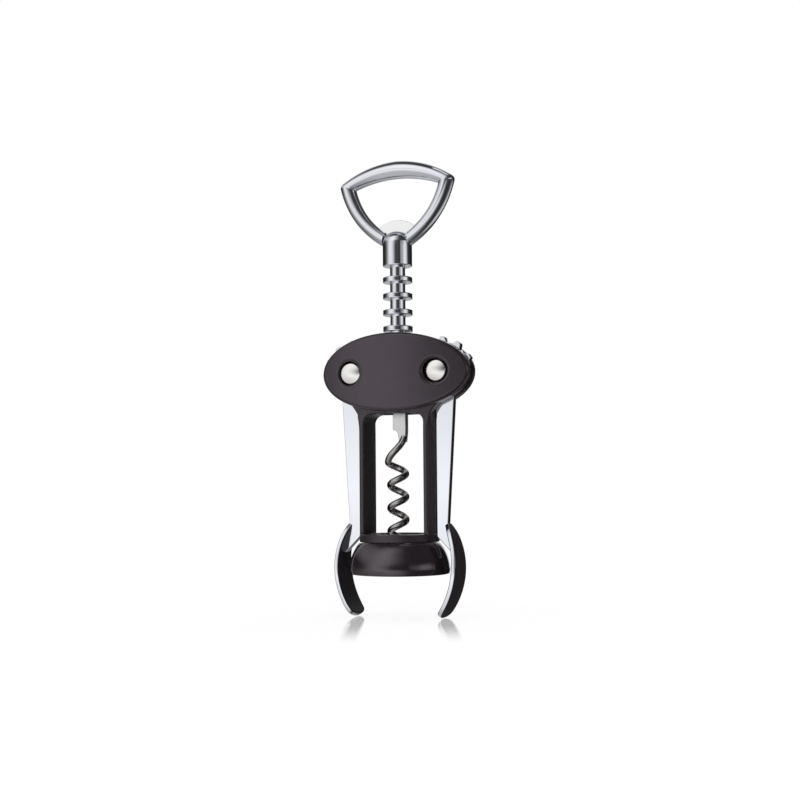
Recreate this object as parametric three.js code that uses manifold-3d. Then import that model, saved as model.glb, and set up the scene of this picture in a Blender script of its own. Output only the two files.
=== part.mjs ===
// Wing corkscrew, standing on the tips of its two folded levers.
// Millimetres, +Z up. The origin is on the shaft's axis, level with the lever tips.
// The front covers face -Y. The right lever is on +X.
import * as THREE from 'three';
import { mergeVertices } from 'three/addons/utils/BufferGeometryUtils.js';
import Module from 'manifold-3d';

const wasm = await Module();
wasm.setup();

// Clearances
const gap = 0.3;
const slideGap = 0.5;
const leverSideGap = 0.4;
const overrun = 1;
const weldDistance = 3e-5;

// Rack shaft: a round bar with rings that the gears climb
const ringRadius = 6.6;
const coreRadius = 3.4;
const ringPitch = 7.25;
const ringThickness = 2.5;
const ringEdge = 0.35;
const ringsBelowPivot = 2;
const ringsAbovePivot = 6;
const meshPhaseShare = 0.18;
const coreBelowRings = 3.6;
const coreInHub = 8;

// Levers: gear, arm and finger grip in one piece
const teethPerTurn = 12;
const teethOnGear = 7;
const rackPitchLine = 5.95;
const toothTip = 1.45;
const toothRoot = 0.95;
const toothTipWidth = 2;
const toothPitchWidth = 3.4;
const toothRootWidth = 4.6;
const leverThickness = 3.6;
const discInset = 1.3;
const armOuterTop = { x: 26.1, z: 93.4 };
const armOuterBottom = { x: 22.9, z: 40.5 };
const armInnerLowHeight = 35;
const armLowerEnd = { x: 26.3, z: 26.4 };
const gripArcRadius = 36.5;
const gripBulgeX = 28;
const gripBulgeHeight = 22.7;
const gripTopHeight = 40.8;
const gripThickness = 2;
const gripWidth = 16;
const gripWidestHeight = 12;
const gripTopWidth = 3.6;
const gripTipSagitta = 1.9;
// Half outline of the grip: [share of its widening, share of its upper part]
const gripShoulderShares = [[1, 0], [0.99, 0.2], [0.92, 0.4], [0.79, 0.6], [0.62, 0.78], [0.38, 0.9],
  [0, 1]];
// [share of the half width, share of the tip's rounding]
const gripTipShares = [[0.4, 0.12], [0.7, 0.42], [0.88, 0.85], [0.95, 1.7], [0.98, 3]];

// Head: two shells clipped over the frame's cheeks
const pivotHeight = 106.4;
const headHalfWidth = 34.2;
const headHalfHeight = 17.1;
const headDepth = 11;
const headEndDepth = 5.4;
const headEdgeRoll = 1.5;
const coverSkin = 1.7;
const coverRim = 1.5;
const coverInnerRoll = 0.5;
const coverDomeShares = [0.66, 0.33];
const countersinkRadius = 6.3;
const countersinkDepth = 0.9;

// Pivot pins
const pinHeadRadius = 4.7;
const pinHeadRecess = 1.1;
const pinHeadThickness = 1.5;
const pinDome = 0.7;
const pinShankRadius = 2.5;
const pinShankInset = 0.5;
const pinHoleRadius = 5.4;
const capWasherThickness = 0.5;

// Frame: collar, two posts, neck, cheeks and the tower that guides the rack
const collarRadius = 17.5;
const collarBottom = 32.6;
const collarTop = 36.1;
const collarEdge = 0.35;
const corkHoleRadius = 12.5;
const postRadius = 17;
const postInnerX = 13.8;
const postHalfDepth = 7.5;
const windowTop = 88.4;
const windowCorner = 4;
const neckBottom = 81;
const neckFlareRadius = 16;
const neckTopX = 25;
const neckInset = 2.8;
const neckAboveFlare = 1.5;
const cheekThickness = 1.4;
const cheekMargin = 1;
const towerRadius = 9;
const towerTop = 122.6;
const towerSlotTop = 119.6;
const webThickness = 2.2;

// Guide bush in the tower's mouth
const bushOuterRadius = 7.7;
const bushLength = 2.6;

// Bell and the bottle seat inside it
const bellRadius = 22;
const bellBottom = 18.7;
const bellBeltHeight = 20.8;
const bellRim = 0.9;
const bellWall = 1.8;
const bellFullness = 2.1;
const bellRoundness = 1.25;
const seatWall = 1.3;
const seatHeight = 29;

// Handle: hub and ring
const hubRadius = 6.6;
const hubBottom = 153.6;
const hubShoulder = 164.2;
const hubDome = 5.6;
const hubEdge = 0.35;
const handleTop = 201;
const handleCorner = { x: 26.8, z: 190 };
const handleShoulder = { x: 25.5, z: 192.9 };
const handleRoot = { x: 6.4, z: 162.8 };
const handleSideBulge = 3.5;
const handleTopBulge = 1.9;
const openingTop = 193;
const openingCorner = { x: 19.6, z: 189.4 };
const openingShoulder = { x: 19.2, z: 189.6 };
const openingRoot = { x: 5.2, z: 169.2 };
const openingSideBulge = 2.3;
const openingTopBulge = 0.85;
const handleDepth = 7.7;

// Cap lifter: a steel web across the foot of the handle's ring
const lifterHalfWidth = 9.5;
const lifterSideHeight = 170.4;
const lifterTop = 174.5;
const lifterFootHalfWidth = 4.4;
const lifterFoot = 164;
const lifterThickness = 1.6;

// Worm
const wormRadius = 3.45;
const wormOffset = -0.5;
const wireRadius = 1.5;
const wormPitch = 10;
const wormTopSwell = 0.9;
const wormSwellTurnsShare = 0.45;
const wormLeftHeight = 67.3;
const wormLeftAngle = 201;
const wormTipHeight = 31;
const wormTipRadius = 0.35;
const wormTaperTurnsShare = 0.6;
const tangBottom = 80.6;
const tangWidth = 6.1;
const tangThickness = 3.4;
const tangShoulder = 91.4;
const tongueWidth = 4;
const tongueThickness = 2.2;
const tongueTop = 102.2;
const leadTurn = 170;
const leadRadius = 2;
const tangOffset = 0.8;
const notchRadius = 1.9;

// Small fasteners
const crossPinRadius = 0.9;
const wormPinHeight = 100.4;
const hubPinHeight = 158;
const stopRingRadius = 6.3;
const stopRingThickness = 2;
const stopRingBottom = 92.7;

// Facets
const roundFaces = 32;
const shaftFaces = 20;
const smallFaces = 16;
const headFaces = 40;
const handleSideSteps = 9;
const handleTopSteps = 6;

// Values worked out from the driving sizes
const fullTurn = 2 * Math.PI;
const degree = Math.PI / 180;
const pitchRadius = ringPitch * teethPerTurn / fullTurn;
const pivotX = rackPitchLine + pitchRadius;
const rootRadius = pitchRadius - toothRoot;
const tipRadius = pitchRadius + toothTip;
const slotHalf = leverThickness / 2 + leverSideGap;
const cheekOuter = slotHalf + cheekThickness;
const boreRadius = ringRadius + slideGap;
const headSagitta = headDepth - headEndDepth;
const headBend = (headHalfWidth ** 2 + headSagitta ** 2) / (2 * headSagitta);
const armInnerX = collarRadius + leverSideGap;
const discClearance = tipRadius + slideGap;

const headTop = pivotHeight + headHalfHeight;
const lowestRing = pivotHeight - ringPitch * (ringsBelowPivot - 1 / 2 - meshPhaseShare);
const rackBottom = lowestRing - ringThickness / 2 - coreBelowRings;
const rackTop = hubBottom + coreInHub;
const bellTop = collarBottom - gap;
const postFrontX = Math.sqrt(postRadius ** 2 - postHalfDepth ** 2);
const neckCentreX = postFrontX + neckFlareRadius;
const neckArcTop = neckBottom + Math.sqrt(neckFlareRadius ** 2 - (neckCentreX - neckTopX) ** 2);

// How far the head's front stands off the mid plane at a place across it
const frontDepth = (x) => headDepth - headBend + Math.sqrt(headBend ** 2 - x ** 2);
const pinUnderHead = frontDepth(pivotX) - pinHeadRecess - pinHeadThickness;

// A closed three.js shape as a solid that can be joined and cut
function solid(geometry) {
  geometry.deleteAttribute('normal');
  geometry.deleteAttribute('uv');
  const merged = mergeVertices(geometry, weldDistance);
  const mesh = new wasm.Mesh({
    numProp: 3,
    vertProperties: new Float32Array(merged.attributes.position.array),
    triVerts: new Uint32Array(merged.index.array),
  });
  return new wasm.Manifold(mesh);
}

function geometryOf(body) {
  const mesh = body.getMesh();
  const geometry = new THREE.BufferGeometry();
  geometry.setAttribute('position', new THREE.BufferAttribute(mesh.vertProperties, 3));
  geometry.setIndex(new THREE.BufferAttribute(mesh.triVerts, 1));
  return geometry;
}

// A box between two corners
function block(x0, x1, y0, y1, z0, z1) {
  const box = new THREE.BoxGeometry(x1 - x0, y1 - y0, z1 - z0);
  return solid(box.translate((x0 + x1) / 2, (y0 + y1) / 2, (z0 + z1) / 2));
}

// A profile of [radius, height] points, listed upwards on its outside, turned about the shaft's axis
function turned(profile, faces) {
  const points = profile.map(([radius, height]) => new THREE.Vector2(radius, height));
  return solid(new THREE.LatheGeometry(points, faces).rotateX(Math.PI / 2));
}

// A closed ring section, turned
function turnedRing(profile, faces) {
  return turned([...profile, profile[0]], faces);
}

function rod(radius, z0, z1, faces) {
  return turned([[0, z0], [radius, z0], [radius, z1], [0, z1]], faces);
}

// A rod along Y through (x, z)
function crossRod(radius, x, z, y0, y1, faces) {
  const cylinder = new THREE.CylinderGeometry(radius, radius, y1 - y0, faces);
  return solid(cylinder.translate(x, (y0 + y1) / 2, z));
}

// An outline in the XZ plane, given thickness along Y
function plate(points, y0, y1) {
  const shape = new THREE.Shape(points.map(([x, z]) => new THREE.Vector2(x, z)));
  const extruded = new THREE.ExtrudeGeometry(shape, { depth: y1 - y0, bevelEnabled: false });
  return solid(extruded.rotateX(Math.PI / 2).translate(0, y1, 0));
}

// An outline in the YZ plane, given thickness along X
function sidePlate(points, x0, x1) {
  const shape = new THREE.Shape(points.map(([y, z]) => new THREE.Vector2(y, z)));
  const extruded = new THREE.ExtrudeGeometry(shape, { depth: x1 - x0, bevelEnabled: false });
  return solid(extruded.rotateX(Math.PI / 2).rotateZ(Math.PI / 2).translate(x0, 0, 0));
}

// Points on an arc, angles in degrees
function arc(cx, cz, radius, from, to, steps) {
  const points = [];
  for (let i = 0; i <= steps; i += 1) {
    const angle = (from + (to - from) * i / steps) * degree;
    points.push([cx + radius * Math.cos(angle), cz + radius * Math.sin(angle)]);
  }
  return points;
}

function mirrored(body) {
  return body.mirror([1, 0, 0]);
}

// Grid of rings of points, closed by a fan at each end, as one closed body
function loft(rings) {
  const count = rings[0].length;
  const positions = rings.flat(2);
  const index = [];
  for (let r = 0; r + 1 < rings.length; r += 1) {
    for (let i = 0; i < count; i += 1) {
      const a = r * count + i;
      const b = r * count + (i + 1) % count;
      index.push(a, b, b + count, a, b + count, a + count);
    }
  }
  const last = (rings.length - 1) * count;
  for (let i = 1; i + 1 < count; i += 1) {
    index.push(0, i + 1, i, last, last + i, last + i + 1);
  }
  const geometry = new THREE.BufferGeometry();
  geometry.setAttribute('position', new THREE.Float32BufferAttribute(positions, 3));
  geometry.setIndex(index);
  return solid(geometry);
}

// Rack shaft
function makeRack() {
  const profile = [[0, rackBottom]];
  const half = ringThickness / 2;
  profile.push([coreRadius, rackBottom]);
  for (let k = -ringsBelowPivot; k < ringsAbovePivot; k += 1) {
    const middle = pivotHeight + ringPitch * (k + 1 / 2 + meshPhaseShare);
    profile.push([coreRadius, middle - half], [ringRadius - ringEdge, middle - half]);
    profile.push([ringRadius, middle - half + ringEdge], [ringRadius, middle + half - ringEdge]);
    profile.push([ringRadius - ringEdge, middle + half], [coreRadius, middle + half]);
  }
  profile.push([coreRadius, rackTop], [0, rackTop]);
  const tongueRoom = block(-tongueWidth / 2 - gap, tongueWidth / 2 + gap,
    -tongueThickness / 2 - gap, tongueThickness / 2 + gap, rackBottom - overrun, tongueTop + gap);
  return turned(profile, shaftFaces).subtract(tongueRoom)
    .subtract(pinRod(wormPinHeight, -coreRadius - overrun, coreRadius + overrun, gap))
    .subtract(pinRod(hubPinHeight, -coreRadius - overrun, coreRadius + overrun, gap));
}

// A cross pin or, with some growth, the hole for it
function pinRod(height, y0, y1, growth) {
  return crossRod(crossPinRadius + growth, 0, height, y0, y1, smallFaces / 2);
}

// Handle: rounded three-cornered ring on a domed hub
function bulgedLine(from, to, bulge, steps) {
  const points = [];
  const [dx, dz] = [to[0] - from[0], to[1] - from[1]];
  const span = Math.hypot(dx, dz);
  for (let i = 0; i <= steps; i += 1) {
    const t = i / steps;
    const out = 4 * bulge * t * (1 - t);
    points.push([from[0] + dx * t + out * dz / span, from[1] + dz * t - out * dx / span]);
  }
  return points;
}

// Right half of an edge of the ring, from its root round the corner to the top
function halfEdge(root, corner, shoulder, top, sideBulge, topBulge) {
  const side = bulgedLine([root.x, root.z], [corner.x, corner.z], sideBulge, handleSideSteps);
  return [...side, ...bulgedLine([shoulder.x, shoulder.z], [0, top], topBulge, handleTopSteps)];
}

function wholeEdge(right) {
  return [...right, ...right.slice(0, -1).reverse().map(([x, z]) => [-x, z])];
}

function makeHandle() {
  const sides = 10;
  const outer = wholeEdge(halfEdge(handleRoot, handleCorner, handleShoulder, handleTop,
    handleSideBulge, handleTopBulge));
  const inner = wholeEdge(halfEdge(openingRoot, openingCorner, openingShoulder, openingTop,
    openingSideBulge, openingTopBulge));
  const rings = outer.map(([ox, oz], station) => {
    const [ix, iz] = inner[station];
    const ring = [];
    for (let i = 0; i < sides; i += 1) {
      const angle = fullTurn * i / sides;
      const inset = (1 - Math.cos(angle)) / 2;
      ring.push([ox + (ix - ox) * inset, handleDepth / 2 * Math.sin(angle), oz + (iz - oz) * inset]);
    }
    return ring;
  });
  const dome = arc(0, 0, 1, 0, 90, 5).map(([x, z]) => [x * hubRadius, hubShoulder + z * hubDome]);
  const hub = turned([[0, hubBottom], [hubRadius - hubEdge, hubBottom], [hubRadius, hubBottom + hubEdge],
    ...dome], roundFaces);
  return hub.add(loft(rings))
    .subtract(rod(coreRadius + gap, hubBottom - overrun, rackTop + gap, shaftFaces))
    .subtract(makeLifter(gap))
    .subtract(pinRod(hubPinHeight, 0, hubRadius + overrun, gap));
}

// Cap lifter, or with some growth its seat in the handle
function makeLifter(growth) {
  const rise = lifterTop - lifterSideHeight;
  const radius = (lifterHalfWidth ** 2 + rise ** 2) / (2 * rise);
  const spread = Math.asin(lifterHalfWidth / radius) / degree;
  const outline = [[-lifterFootHalfWidth - growth, lifterFoot - growth],
    [lifterFootHalfWidth + growth, lifterFoot - growth],
    ...arc(0, lifterTop - radius, radius + growth, 90 - spread, 90 + spread, 10)];
  const half = lifterThickness / 2 + growth;
  return plate(outline, -half, half);
}

// Worm
function wormPath() {
  const points = [];
  const stepsPerTurn = 16;
  const turns = (wormLeftHeight - wormTipHeight) / wormPitch;
  const steps = Math.round(turns * stepsPerTurn);
  for (let i = 0; i <= steps; i += 1) {
    const back = turns * (1 - i / steps);
    const angle = (wormLeftAngle - 360 * back) * degree;
    const fromTip = turns - back;
    const taper = Math.min(1, fromTip / wormTaperTurnsShare);
    const swell = wormTopSwell * Math.max(0, 1 - back / wormSwellTurnsShare);
    points.push({ angle, reach: wormRadius + swell, height: wormLeftHeight - wormPitch * back,
      wire: wormTipRadius + (wireRadius - wormTipRadius) * Math.sqrt(taper) });
  }
  const leadSteps = 7;
  for (let i = 1; i <= leadSteps; i += 1) {
    const t = i / leadSteps;
    const height = wormLeftHeight + (tangBottom - wormLeftHeight) * t;
    const top = wormRadius + wormTopSwell;
    points.push({ angle: (wormLeftAngle + leadTurn * t) * degree,
      reach: top + (leadRadius - top) * t * t, height, wire: wireRadius });
  }
  return points;
}

function makeWorm() {
  const path = wormPath();
  const places = path.map(({ angle, reach, height }) =>
    new THREE.Vector3(wormOffset + reach * Math.cos(angle), reach * Math.sin(angle), height));
  const sides = 8;
  const rings = places.map((place, i) => {
    const ahead = places[Math.min(i + 1, places.length - 1)];
    const behind = places[Math.max(i - 1, 0)];
    const along = ahead.clone().sub(behind).normalize();
    const out = new THREE.Vector3(Math.cos(path[i].angle), Math.sin(path[i].angle), 0);
    out.addScaledVector(along, -out.dot(along)).normalize();
    const side = along.clone().cross(out);
    const ring = [];
    for (let k = 0; k < sides; k += 1) {
      const angle = fullTurn * k / sides;
      const point = place.clone().addScaledVector(out, path[i].wire * Math.cos(angle))
        .addScaledVector(side, path[i].wire * Math.sin(angle));
      ring.push(point.toArray());
    }
    return ring;
  });
  return loft(rings).add(makeTang());
}

// Flat tang above the worm, with a tongue that goes up into the shaft
function makeTang() {
  const half = tangThickness / 2;
  const blade = block(tangOffset - tangWidth / 2, tangOffset + tangWidth / 2, -half, half,
    tangBottom - wireRadius, tangShoulder);
  const tongue = block(-tongueWidth / 2, tongueWidth / 2, -tongueThickness / 2, tongueThickness / 2,
    tangShoulder - overrun, tongueTop);
  const notch = crossRod(notchRadius, tangOffset - tangWidth / 2, tangBottom - wireRadius,
    -half - overrun, half + overrun, smallFaces);
  return blade.subtract(notch).add(tongue)
    .subtract(pinRod(wormPinHeight, -half - overrun, half + overrun, gap));
}

// Ring at the rack's foot that keeps the shaft from being drawn out of the tower
function makeStopRing() {
  const inner = coreRadius + gap;
  const top = stopRingBottom + stopRingThickness;
  return turnedRing([[inner, stopRingBottom], [stopRingRadius, stopRingBottom], [stopRingRadius, top],
    [inner, top]], shaftFaces);
}

// Right lever
function gearOutline() {
  const points = [];
  const step = 360 / teethPerTurn;
  const angleOf = (width, radius) => width / 2 / radius / degree;
  for (let i = 0; i < teethOnGear; i += 1) {
    const middle = step * (i + 1 - meshPhaseShare);
    const polar = (angle, radius) => [pivotX + radius * Math.cos(angle * degree),
      pivotHeight + radius * Math.sin(angle * degree)];
    const root = angleOf(toothRootWidth, rootRadius);
    const pitch = angleOf(toothPitchWidth, pitchRadius);
    const tip = angleOf(toothTipWidth, tipRadius);
    points.push(polar(middle - root, rootRadius), polar(middle - pitch, pitchRadius));
    points.push(polar(middle - tip, tipRadius), polar(middle + tip, tipRadius));
    points.push(polar(middle + pitch, pitchRadius), polar(middle + root, rootRadius));
    points.push(polar(middle + step / 2, rootRadius));
  }
  return points;
}

function makeGrip() {
  const bulgeCentre = gripBulgeX - gripArcRadius;
  const angleAt = (z) => Math.asin((z - gripBulgeHeight) / gripArcRadius) / degree;
  const outer = arc(bulgeCentre, gripBulgeHeight, gripArcRadius, angleAt(0), angleAt(gripTopHeight), 16);
  const inner = arc(bulgeCentre, gripBulgeHeight, gripArcRadius - gripThickness,
    angleAt(gripTopHeight), angleAt(0), 16);
  const strip = plate([...outer, ...inner], -gripWidth, gripWidth);
  const half = gripWidth / 2;
  const topHalf = gripTopWidth / 2;
  const shoulders = gripShoulderShares.map(([wide, high]) => [
    topHalf + (half - topHalf) * wide,
    gripWidestHeight + (gripTopHeight - gripWidestHeight) * high]);
  const tip = gripTipShares.map(([wide, high]) => [half * wide, gripTipSagitta * high]);
  const right = [...tip, ...shoulders];
  const left = right.slice().reverse().map(([y, z]) => [-y, z]);
  return strip.intersect(sidePlate([[0, 0], ...right, ...left], 0, gripBulgeX + overrun));
}

function makeLever() {
  const half = leverThickness / 2;
  const arm = plate([[armInnerX, pivotHeight], [armInnerX, armInnerLowHeight],
    [armLowerEnd.x, armLowerEnd.z],
    [armOuterBottom.x + gripThickness / 2, gripTopHeight - gripThickness * 2],
    [armOuterBottom.x, armOuterBottom.z], [armOuterTop.x, armOuterTop.z],
    [armOuterTop.x, pivotHeight]], -half, half);
  return plate(gearOutline(), -half, half).add(arm).add(makeGrip())
    .add(crossRod(rootRadius - discInset, pivotX, pivotHeight, -half, half, roundFaces))
    .subtract(crossRod(pinShankRadius + gap, pivotX, pivotHeight, -half - overrun, half + overrun,
      smallFaces));
}

// Pivot pin: domed head in front, shank right through, with a cap of the same shape behind
function pinHeadProfile() {
  const face = pinUnderHead + pinHeadThickness;
  const dome = arc(0, 0, 1, 0, 90, 4).map(([x, z]) => [x * pinHeadRadius, face - pinDome + z * pinDome]);
  return [[0, pinUnderHead], [pinHeadRadius, pinUnderHead], ...dome];
}

// A profile along Y at the right pivot, towards the back
function atPivot(body) {
  return body.rotate([-90, 0, 0]).translate([pivotX, 0, pivotHeight]);
}

function makePin() {
  const head = atPivot(turned(pinHeadProfile(), shaftFaces)).mirror([0, 1, 0]);
  const shank = crossRod(pinShankRadius, pivotX, pivotHeight, -pinUnderHead - pinShankInset,
    pinUnderHead + pinShankInset, smallFaces);
  return head.add(shank);
}

function makeCap() {
  const socket = crossRod(pinShankRadius + gap, pivotX, pivotHeight, 0,
    pinUnderHead + pinShankInset + gap, smallFaces);
  return atPivot(turned(pinHeadProfile(), shaftFaces)).subtract(socket);
}

function makeCapWasher() {
  const top = pinUnderHead - gap;
  const bottom = top - capWasherThickness;
  const inner = pinShankRadius + gap;
  return atPivot(turnedRing([[inner, bottom], [pinHeadRadius, bottom], [pinHeadRadius, top], [inner, top]],
    shaftFaces));
}

// Lens in plan: everything no further from the middle than the head's curved front less an inset
function frontLens(inset, z0, z1) {
  const reach = headHalfWidth + overrun;
  const steps = 20;
  const front = [];
  for (let i = 0; i <= steps; i += 1) {
    const x = -reach + 2 * reach * i / steps;
    front.push([x, inset - frontDepth(x)]);
  }
  const back = front.slice().reverse().map(([x, y]) => [x, -y]);
  const shape = new THREE.Shape([...front, ...back].map(([x, y]) => new THREE.Vector2(x, y)));
  const extruded = new THREE.ExtrudeGeometry(shape, { depth: z1 - z0, bevelEnabled: false });
  return solid(extruded.translate(0, 0, z0));
}

// Neck that flares from the posts to the head
function makeNeck(growth) {
  const top = neckArcTop + neckAboveFlare + growth;
  const radius = neckFlareRadius - growth;
  const sweep = Math.acos((neckCentreX - neckTopX) / neckFlareRadius) / degree;
  const right = arc(neckCentreX, neckBottom, radius, 180, 180 - sweep, 8);
  const corner = [right[right.length - 1][0], top];
  const left = [...right, corner].reverse().map(([x, z]) => [-x, z]);
  const outline = [...right, corner, ...left];
  return plate(outline, -headDepth, headDepth)
    .intersect(frontLens(neckInset - growth, neckBottom - overrun, top + overrun));
}

function makePosts() {
  const tube = rod(postRadius, collarBottom + overrun, windowTop, roundFaces);
  const slab = block(-postRadius, postRadius, -postHalfDepth, postHalfDepth, collarBottom, headTop);
  return tube.intersect(slab);
}

// Opening between the posts, round-cornered at the top
function makeWindow() {
  const outline = [[-postInnerX, collarBottom - overrun], [postInnerX, collarBottom - overrun],
    ...arc(postInnerX - windowCorner, windowTop - windowCorner, windowCorner, 0, 90, 5),
    ...arc(windowCorner - postInnerX, windowTop - windowCorner, windowCorner, 90, 180, 5)];
  return plate(outline, -headDepth, headDepth);
}

function headOutline(inset, faces) {
  const points = [];
  for (let i = 0; i < faces; i += 1) {
    const angle = fullTurn * i / faces;
    points.push([(headHalfWidth - inset) * Math.cos(angle),
      pivotHeight + (headHalfHeight - inset) * Math.sin(angle)]);
  }
  return points;
}

function bothSides(make) {
  const right = make();
  return right.add(mirrored(right));
}

function makeFrame() {
  const bossFront = pinUnderHead - gap;
  const bossBack = bossFront - capWasherThickness - gap;
  const cheeks = plate(headOutline(coverRim + gap + cheekMargin, headFaces), -cheekOuter, cheekOuter);
  const bosses = bothSides(() =>
    crossRod(pinHeadRadius, pivotX, pivotHeight, -bossFront, bossBack, shaftFaces));
  const tower = rod(towerRadius, windowTop, towerTop, roundFaces);
  const posts = makePosts().add(makeNeck(0)).subtract(makeWindow());
  const collar = turnedRing([[corkHoleRadius, collarBottom], [collarRadius, collarBottom],
    [collarRadius, collarTop - collarEdge], [collarRadius - collarEdge, collarTop],
    [corkHoleRadius, collarTop]], roundFaces);
  const gearSlots = bothSides(() =>
    crossRod(discClearance, pivotX, pivotHeight, -slotHalf, slotHalf, roundFaces)
      .add(block(armInnerX - gap, headHalfWidth, -slotHalf, slotHalf, neckBottom - overrun, pivotHeight)));
  const headSlot = block(-headHalfWidth, headHalfWidth, -slotHalf, slotHalf,
    windowTop + webThickness, towerSlotTop);
  const mouth = rod(bushOuterRadius + gap, towerTop - bushLength - gap, towerTop + overrun, roundFaces);
  const pinBores = bothSides(() =>
    crossRod(pinShankRadius + gap, pivotX, pivotHeight, -headDepth, headDepth, smallFaces));
  return posts.add(collar).add(cheeks).add(bosses).add(tower)
    .subtract(headSlot).subtract(gearSlots).subtract(mouth).subtract(pinBores)
    .subtract(rod(boreRadius, windowTop - overrun, headTop + overrun, roundFaces));
}

function makeBush() {
  const bottom = towerTop - bushLength;
  return turnedRing([[boreRadius, bottom], [bushOuterRadius, bottom], [bushOuterRadius, towerTop],
    [boreRadius, towerTop]], roundFaces);
}

// Front of a cover: curved in plan, with its edge rolled back
function coverBody(inset, skin, roll, base) {
  const rollShares = [0, 0.5, 1];
  const rings = [];
  const outline = headOutline(inset, headFaces);
  const ringAt = (back, depthLoss) => outline.map(([x, z]) => {
    const reach = Math.hypot(x / headHalfWidth, (z - pivotHeight) / headHalfHeight);
    const shrink = 1 - back / (reach * headHalfHeight);
    const px = x * shrink;
    const pz = pivotHeight + (z - pivotHeight) * shrink;
    return [px, -(frontDepth(px) - skin - depthLoss), pz];
  });
  rings.push(outline.map(([x, z]) => [x, -base, z]));
  rollShares.forEach((share) => {
    const turn = share * Math.PI / 2;
    rings.push(ringAt(roll * (1 - Math.cos(turn)), roll * (1 - Math.sin(turn))));
  });
  return loftDome(rings, skin);
}

// Rings closed at the front by strips that follow the head's curve
function loftDome(rings, skin) {
  const inner = rings[rings.length - 1];
  const spread = coverDomeShares.map((share) => inner.map(([x, , z]) => {
    const px = x * share;
    return [px, -(frontDepth(px) - skin), pivotHeight + (z - pivotHeight) * share];
  }));
  return loft([...rings, ...spread]);
}

function makeCover() {
  const outer = coverBody(0, 0, headEdgeRoll, slotHalf);
  const inner = coverBody(coverRim, coverSkin, coverInnerRoll, slotHalf - overrun);
  const face = frontDepth(pivotX);
  const pinHole = bothSides(() => {
    const hole = crossRod(pinHoleRadius, pivotX, pivotHeight, -headDepth, 0, shaftFaces);
    const sink = turned([[0, 0], [pinHoleRadius, 0], [countersinkRadius, countersinkDepth],
      [countersinkRadius + overrun, countersinkDepth + overrun], [0, countersinkDepth + overrun]],
    shaftFaces);
    const turnedSink = sink.rotate([90, 0, 0]).translate([pivotX, countersinkDepth - face, pivotHeight]);
    return hole.add(turnedSink);
  });
  const towerRoom = rod(towerRadius + gap, windowTop - overrun, headTop + overrun, roundFaces);
  return outer.subtract(inner).subtract(pinHole).subtract(towerRoom).subtract(makeNeck(gap));
}

// Bell's outer radius at a height
function bellRadiusAt(height) {
  const t = Math.max(0, (height - bellBeltHeight) / (bellTop - bellBeltHeight));
  return collarRadius + (bellRadius - collarRadius) * (1 - t ** bellFullness) ** (1 / bellRoundness);
}

// The bell's curve between two heights, moved inwards
function bellCurve(inset, from, to) {
  const points = [];
  const steps = 7;
  for (let i = 0; i <= steps; i += 1) {
    const height = from + (to - from) * i / steps;
    points.push([bellRadiusAt(height) - inset, height]);
  }
  return points;
}

function makeBell() {
  const ceiling = bellTop - bellWall;
  const outside = bellCurve(0, bellBeltHeight, bellTop);
  const inside = bellCurve(bellWall, bellBeltHeight, ceiling).reverse();
  return turnedRing([[bellRadius - bellWall, bellBottom + bellRim / 2], [bellRadius - bellRim, bellBottom],
    [bellRadius - bellRim / 3, bellBottom + bellRim / 2], ...outside,
    [corkHoleRadius, bellTop], [corkHoleRadius, ceiling], ...inside], roundFaces);
}

// Seat that the bottle's lip meets, with a skirt down the inside of the bell
function makeSeat() {
  const shift = bellWall + gap;
  const top = bellTop - bellWall - gap;
  const outside = bellCurve(shift, bellBeltHeight, top);
  const inside = bellCurve(shift + seatWall, bellBeltHeight, seatHeight).reverse();
  return turnedRing([...outside, [corkHoleRadius, top], [corkHoleRadius, seatHeight], ...inside],
    roundFaces);
}

// Materials
function finish(color, metalness, roughness) {
  return new THREE.MeshStandardMaterial({ color, metalness, roughness });
}

const coatedBlack = finish('#2b2629', 0, 0.45);
const softCover = finish('#3a3438', 0, 0.6);
const chrome = finish('#d9dde2', 1, 0.12);
const nickel = finish('#c9c2ba', 1, 0.3);
const steel = finish('#8f8c8a', 1, 0.2);
const nylon = finish('#e8e6e0', 0, 0.5);
const blackNylon = finish('#1c1a1b', 0, 0.5);

function piece(name, body, material) {
  const mesh = new THREE.Mesh(geometryOf(body), material);
  mesh.name = name;
  return mesh;
}

const corkscrew = new THREE.Group();
corkscrew.add(
  piece('frame', makeFrame(), coatedBlack),
  piece('bell', makeBell(), coatedBlack),
  piece('bottle_seat', makeSeat(), blackNylon),
  piece('front_cover', makeCover(), softCover),
  piece('rear_cover', makeCover().mirror([0, 1, 0]), softCover),
  piece('shaft_bush', makeBush(), nylon),
  piece('stop_ring', makeStopRing(), nylon),
  piece('right_lever', makeLever(), chrome),
  piece('left_lever', mirrored(makeLever()), chrome),
  piece('right_pivot_pin', makePin(), nickel),
  piece('left_pivot_pin', mirrored(makePin()), nickel),
  piece('right_pin_cap', makeCap(), nickel),
  piece('left_pin_cap', mirrored(makeCap()), nickel),
  piece('right_cap_washer', makeCapWasher(), nickel),
  piece('left_cap_washer', mirrored(makeCapWasher()), nickel),
);

// Everything that turns with the handle
const screw = new THREE.Group();
screw.add(
  piece('handle', makeHandle(), chrome),
  piece('cap_lifter', makeLifter(0), steel),
  piece('handle_pin', pinRod(hubPinHeight, -coreRadius + gap, hubRadius - gap, 0), steel),
  piece('rack_shaft', makeRack(), chrome),
  piece('worm', makeWorm(), steel),
  piece('worm_pin', pinRod(wormPinHeight, -coreRadius + gap, coreRadius - gap, 0), steel),
);
corkscrew.add(screw);

export default corkscrew;
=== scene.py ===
"""Wing corkscrew, standing on the tips of its folded levers. Metres, +Z up, front towards -Y.
The sections follow the tool as it is put together, from the casting to the worm."""
import math

import bmesh
import bpy
import numpy as np
from mathutils import Matrix, Vector, geometry


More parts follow.
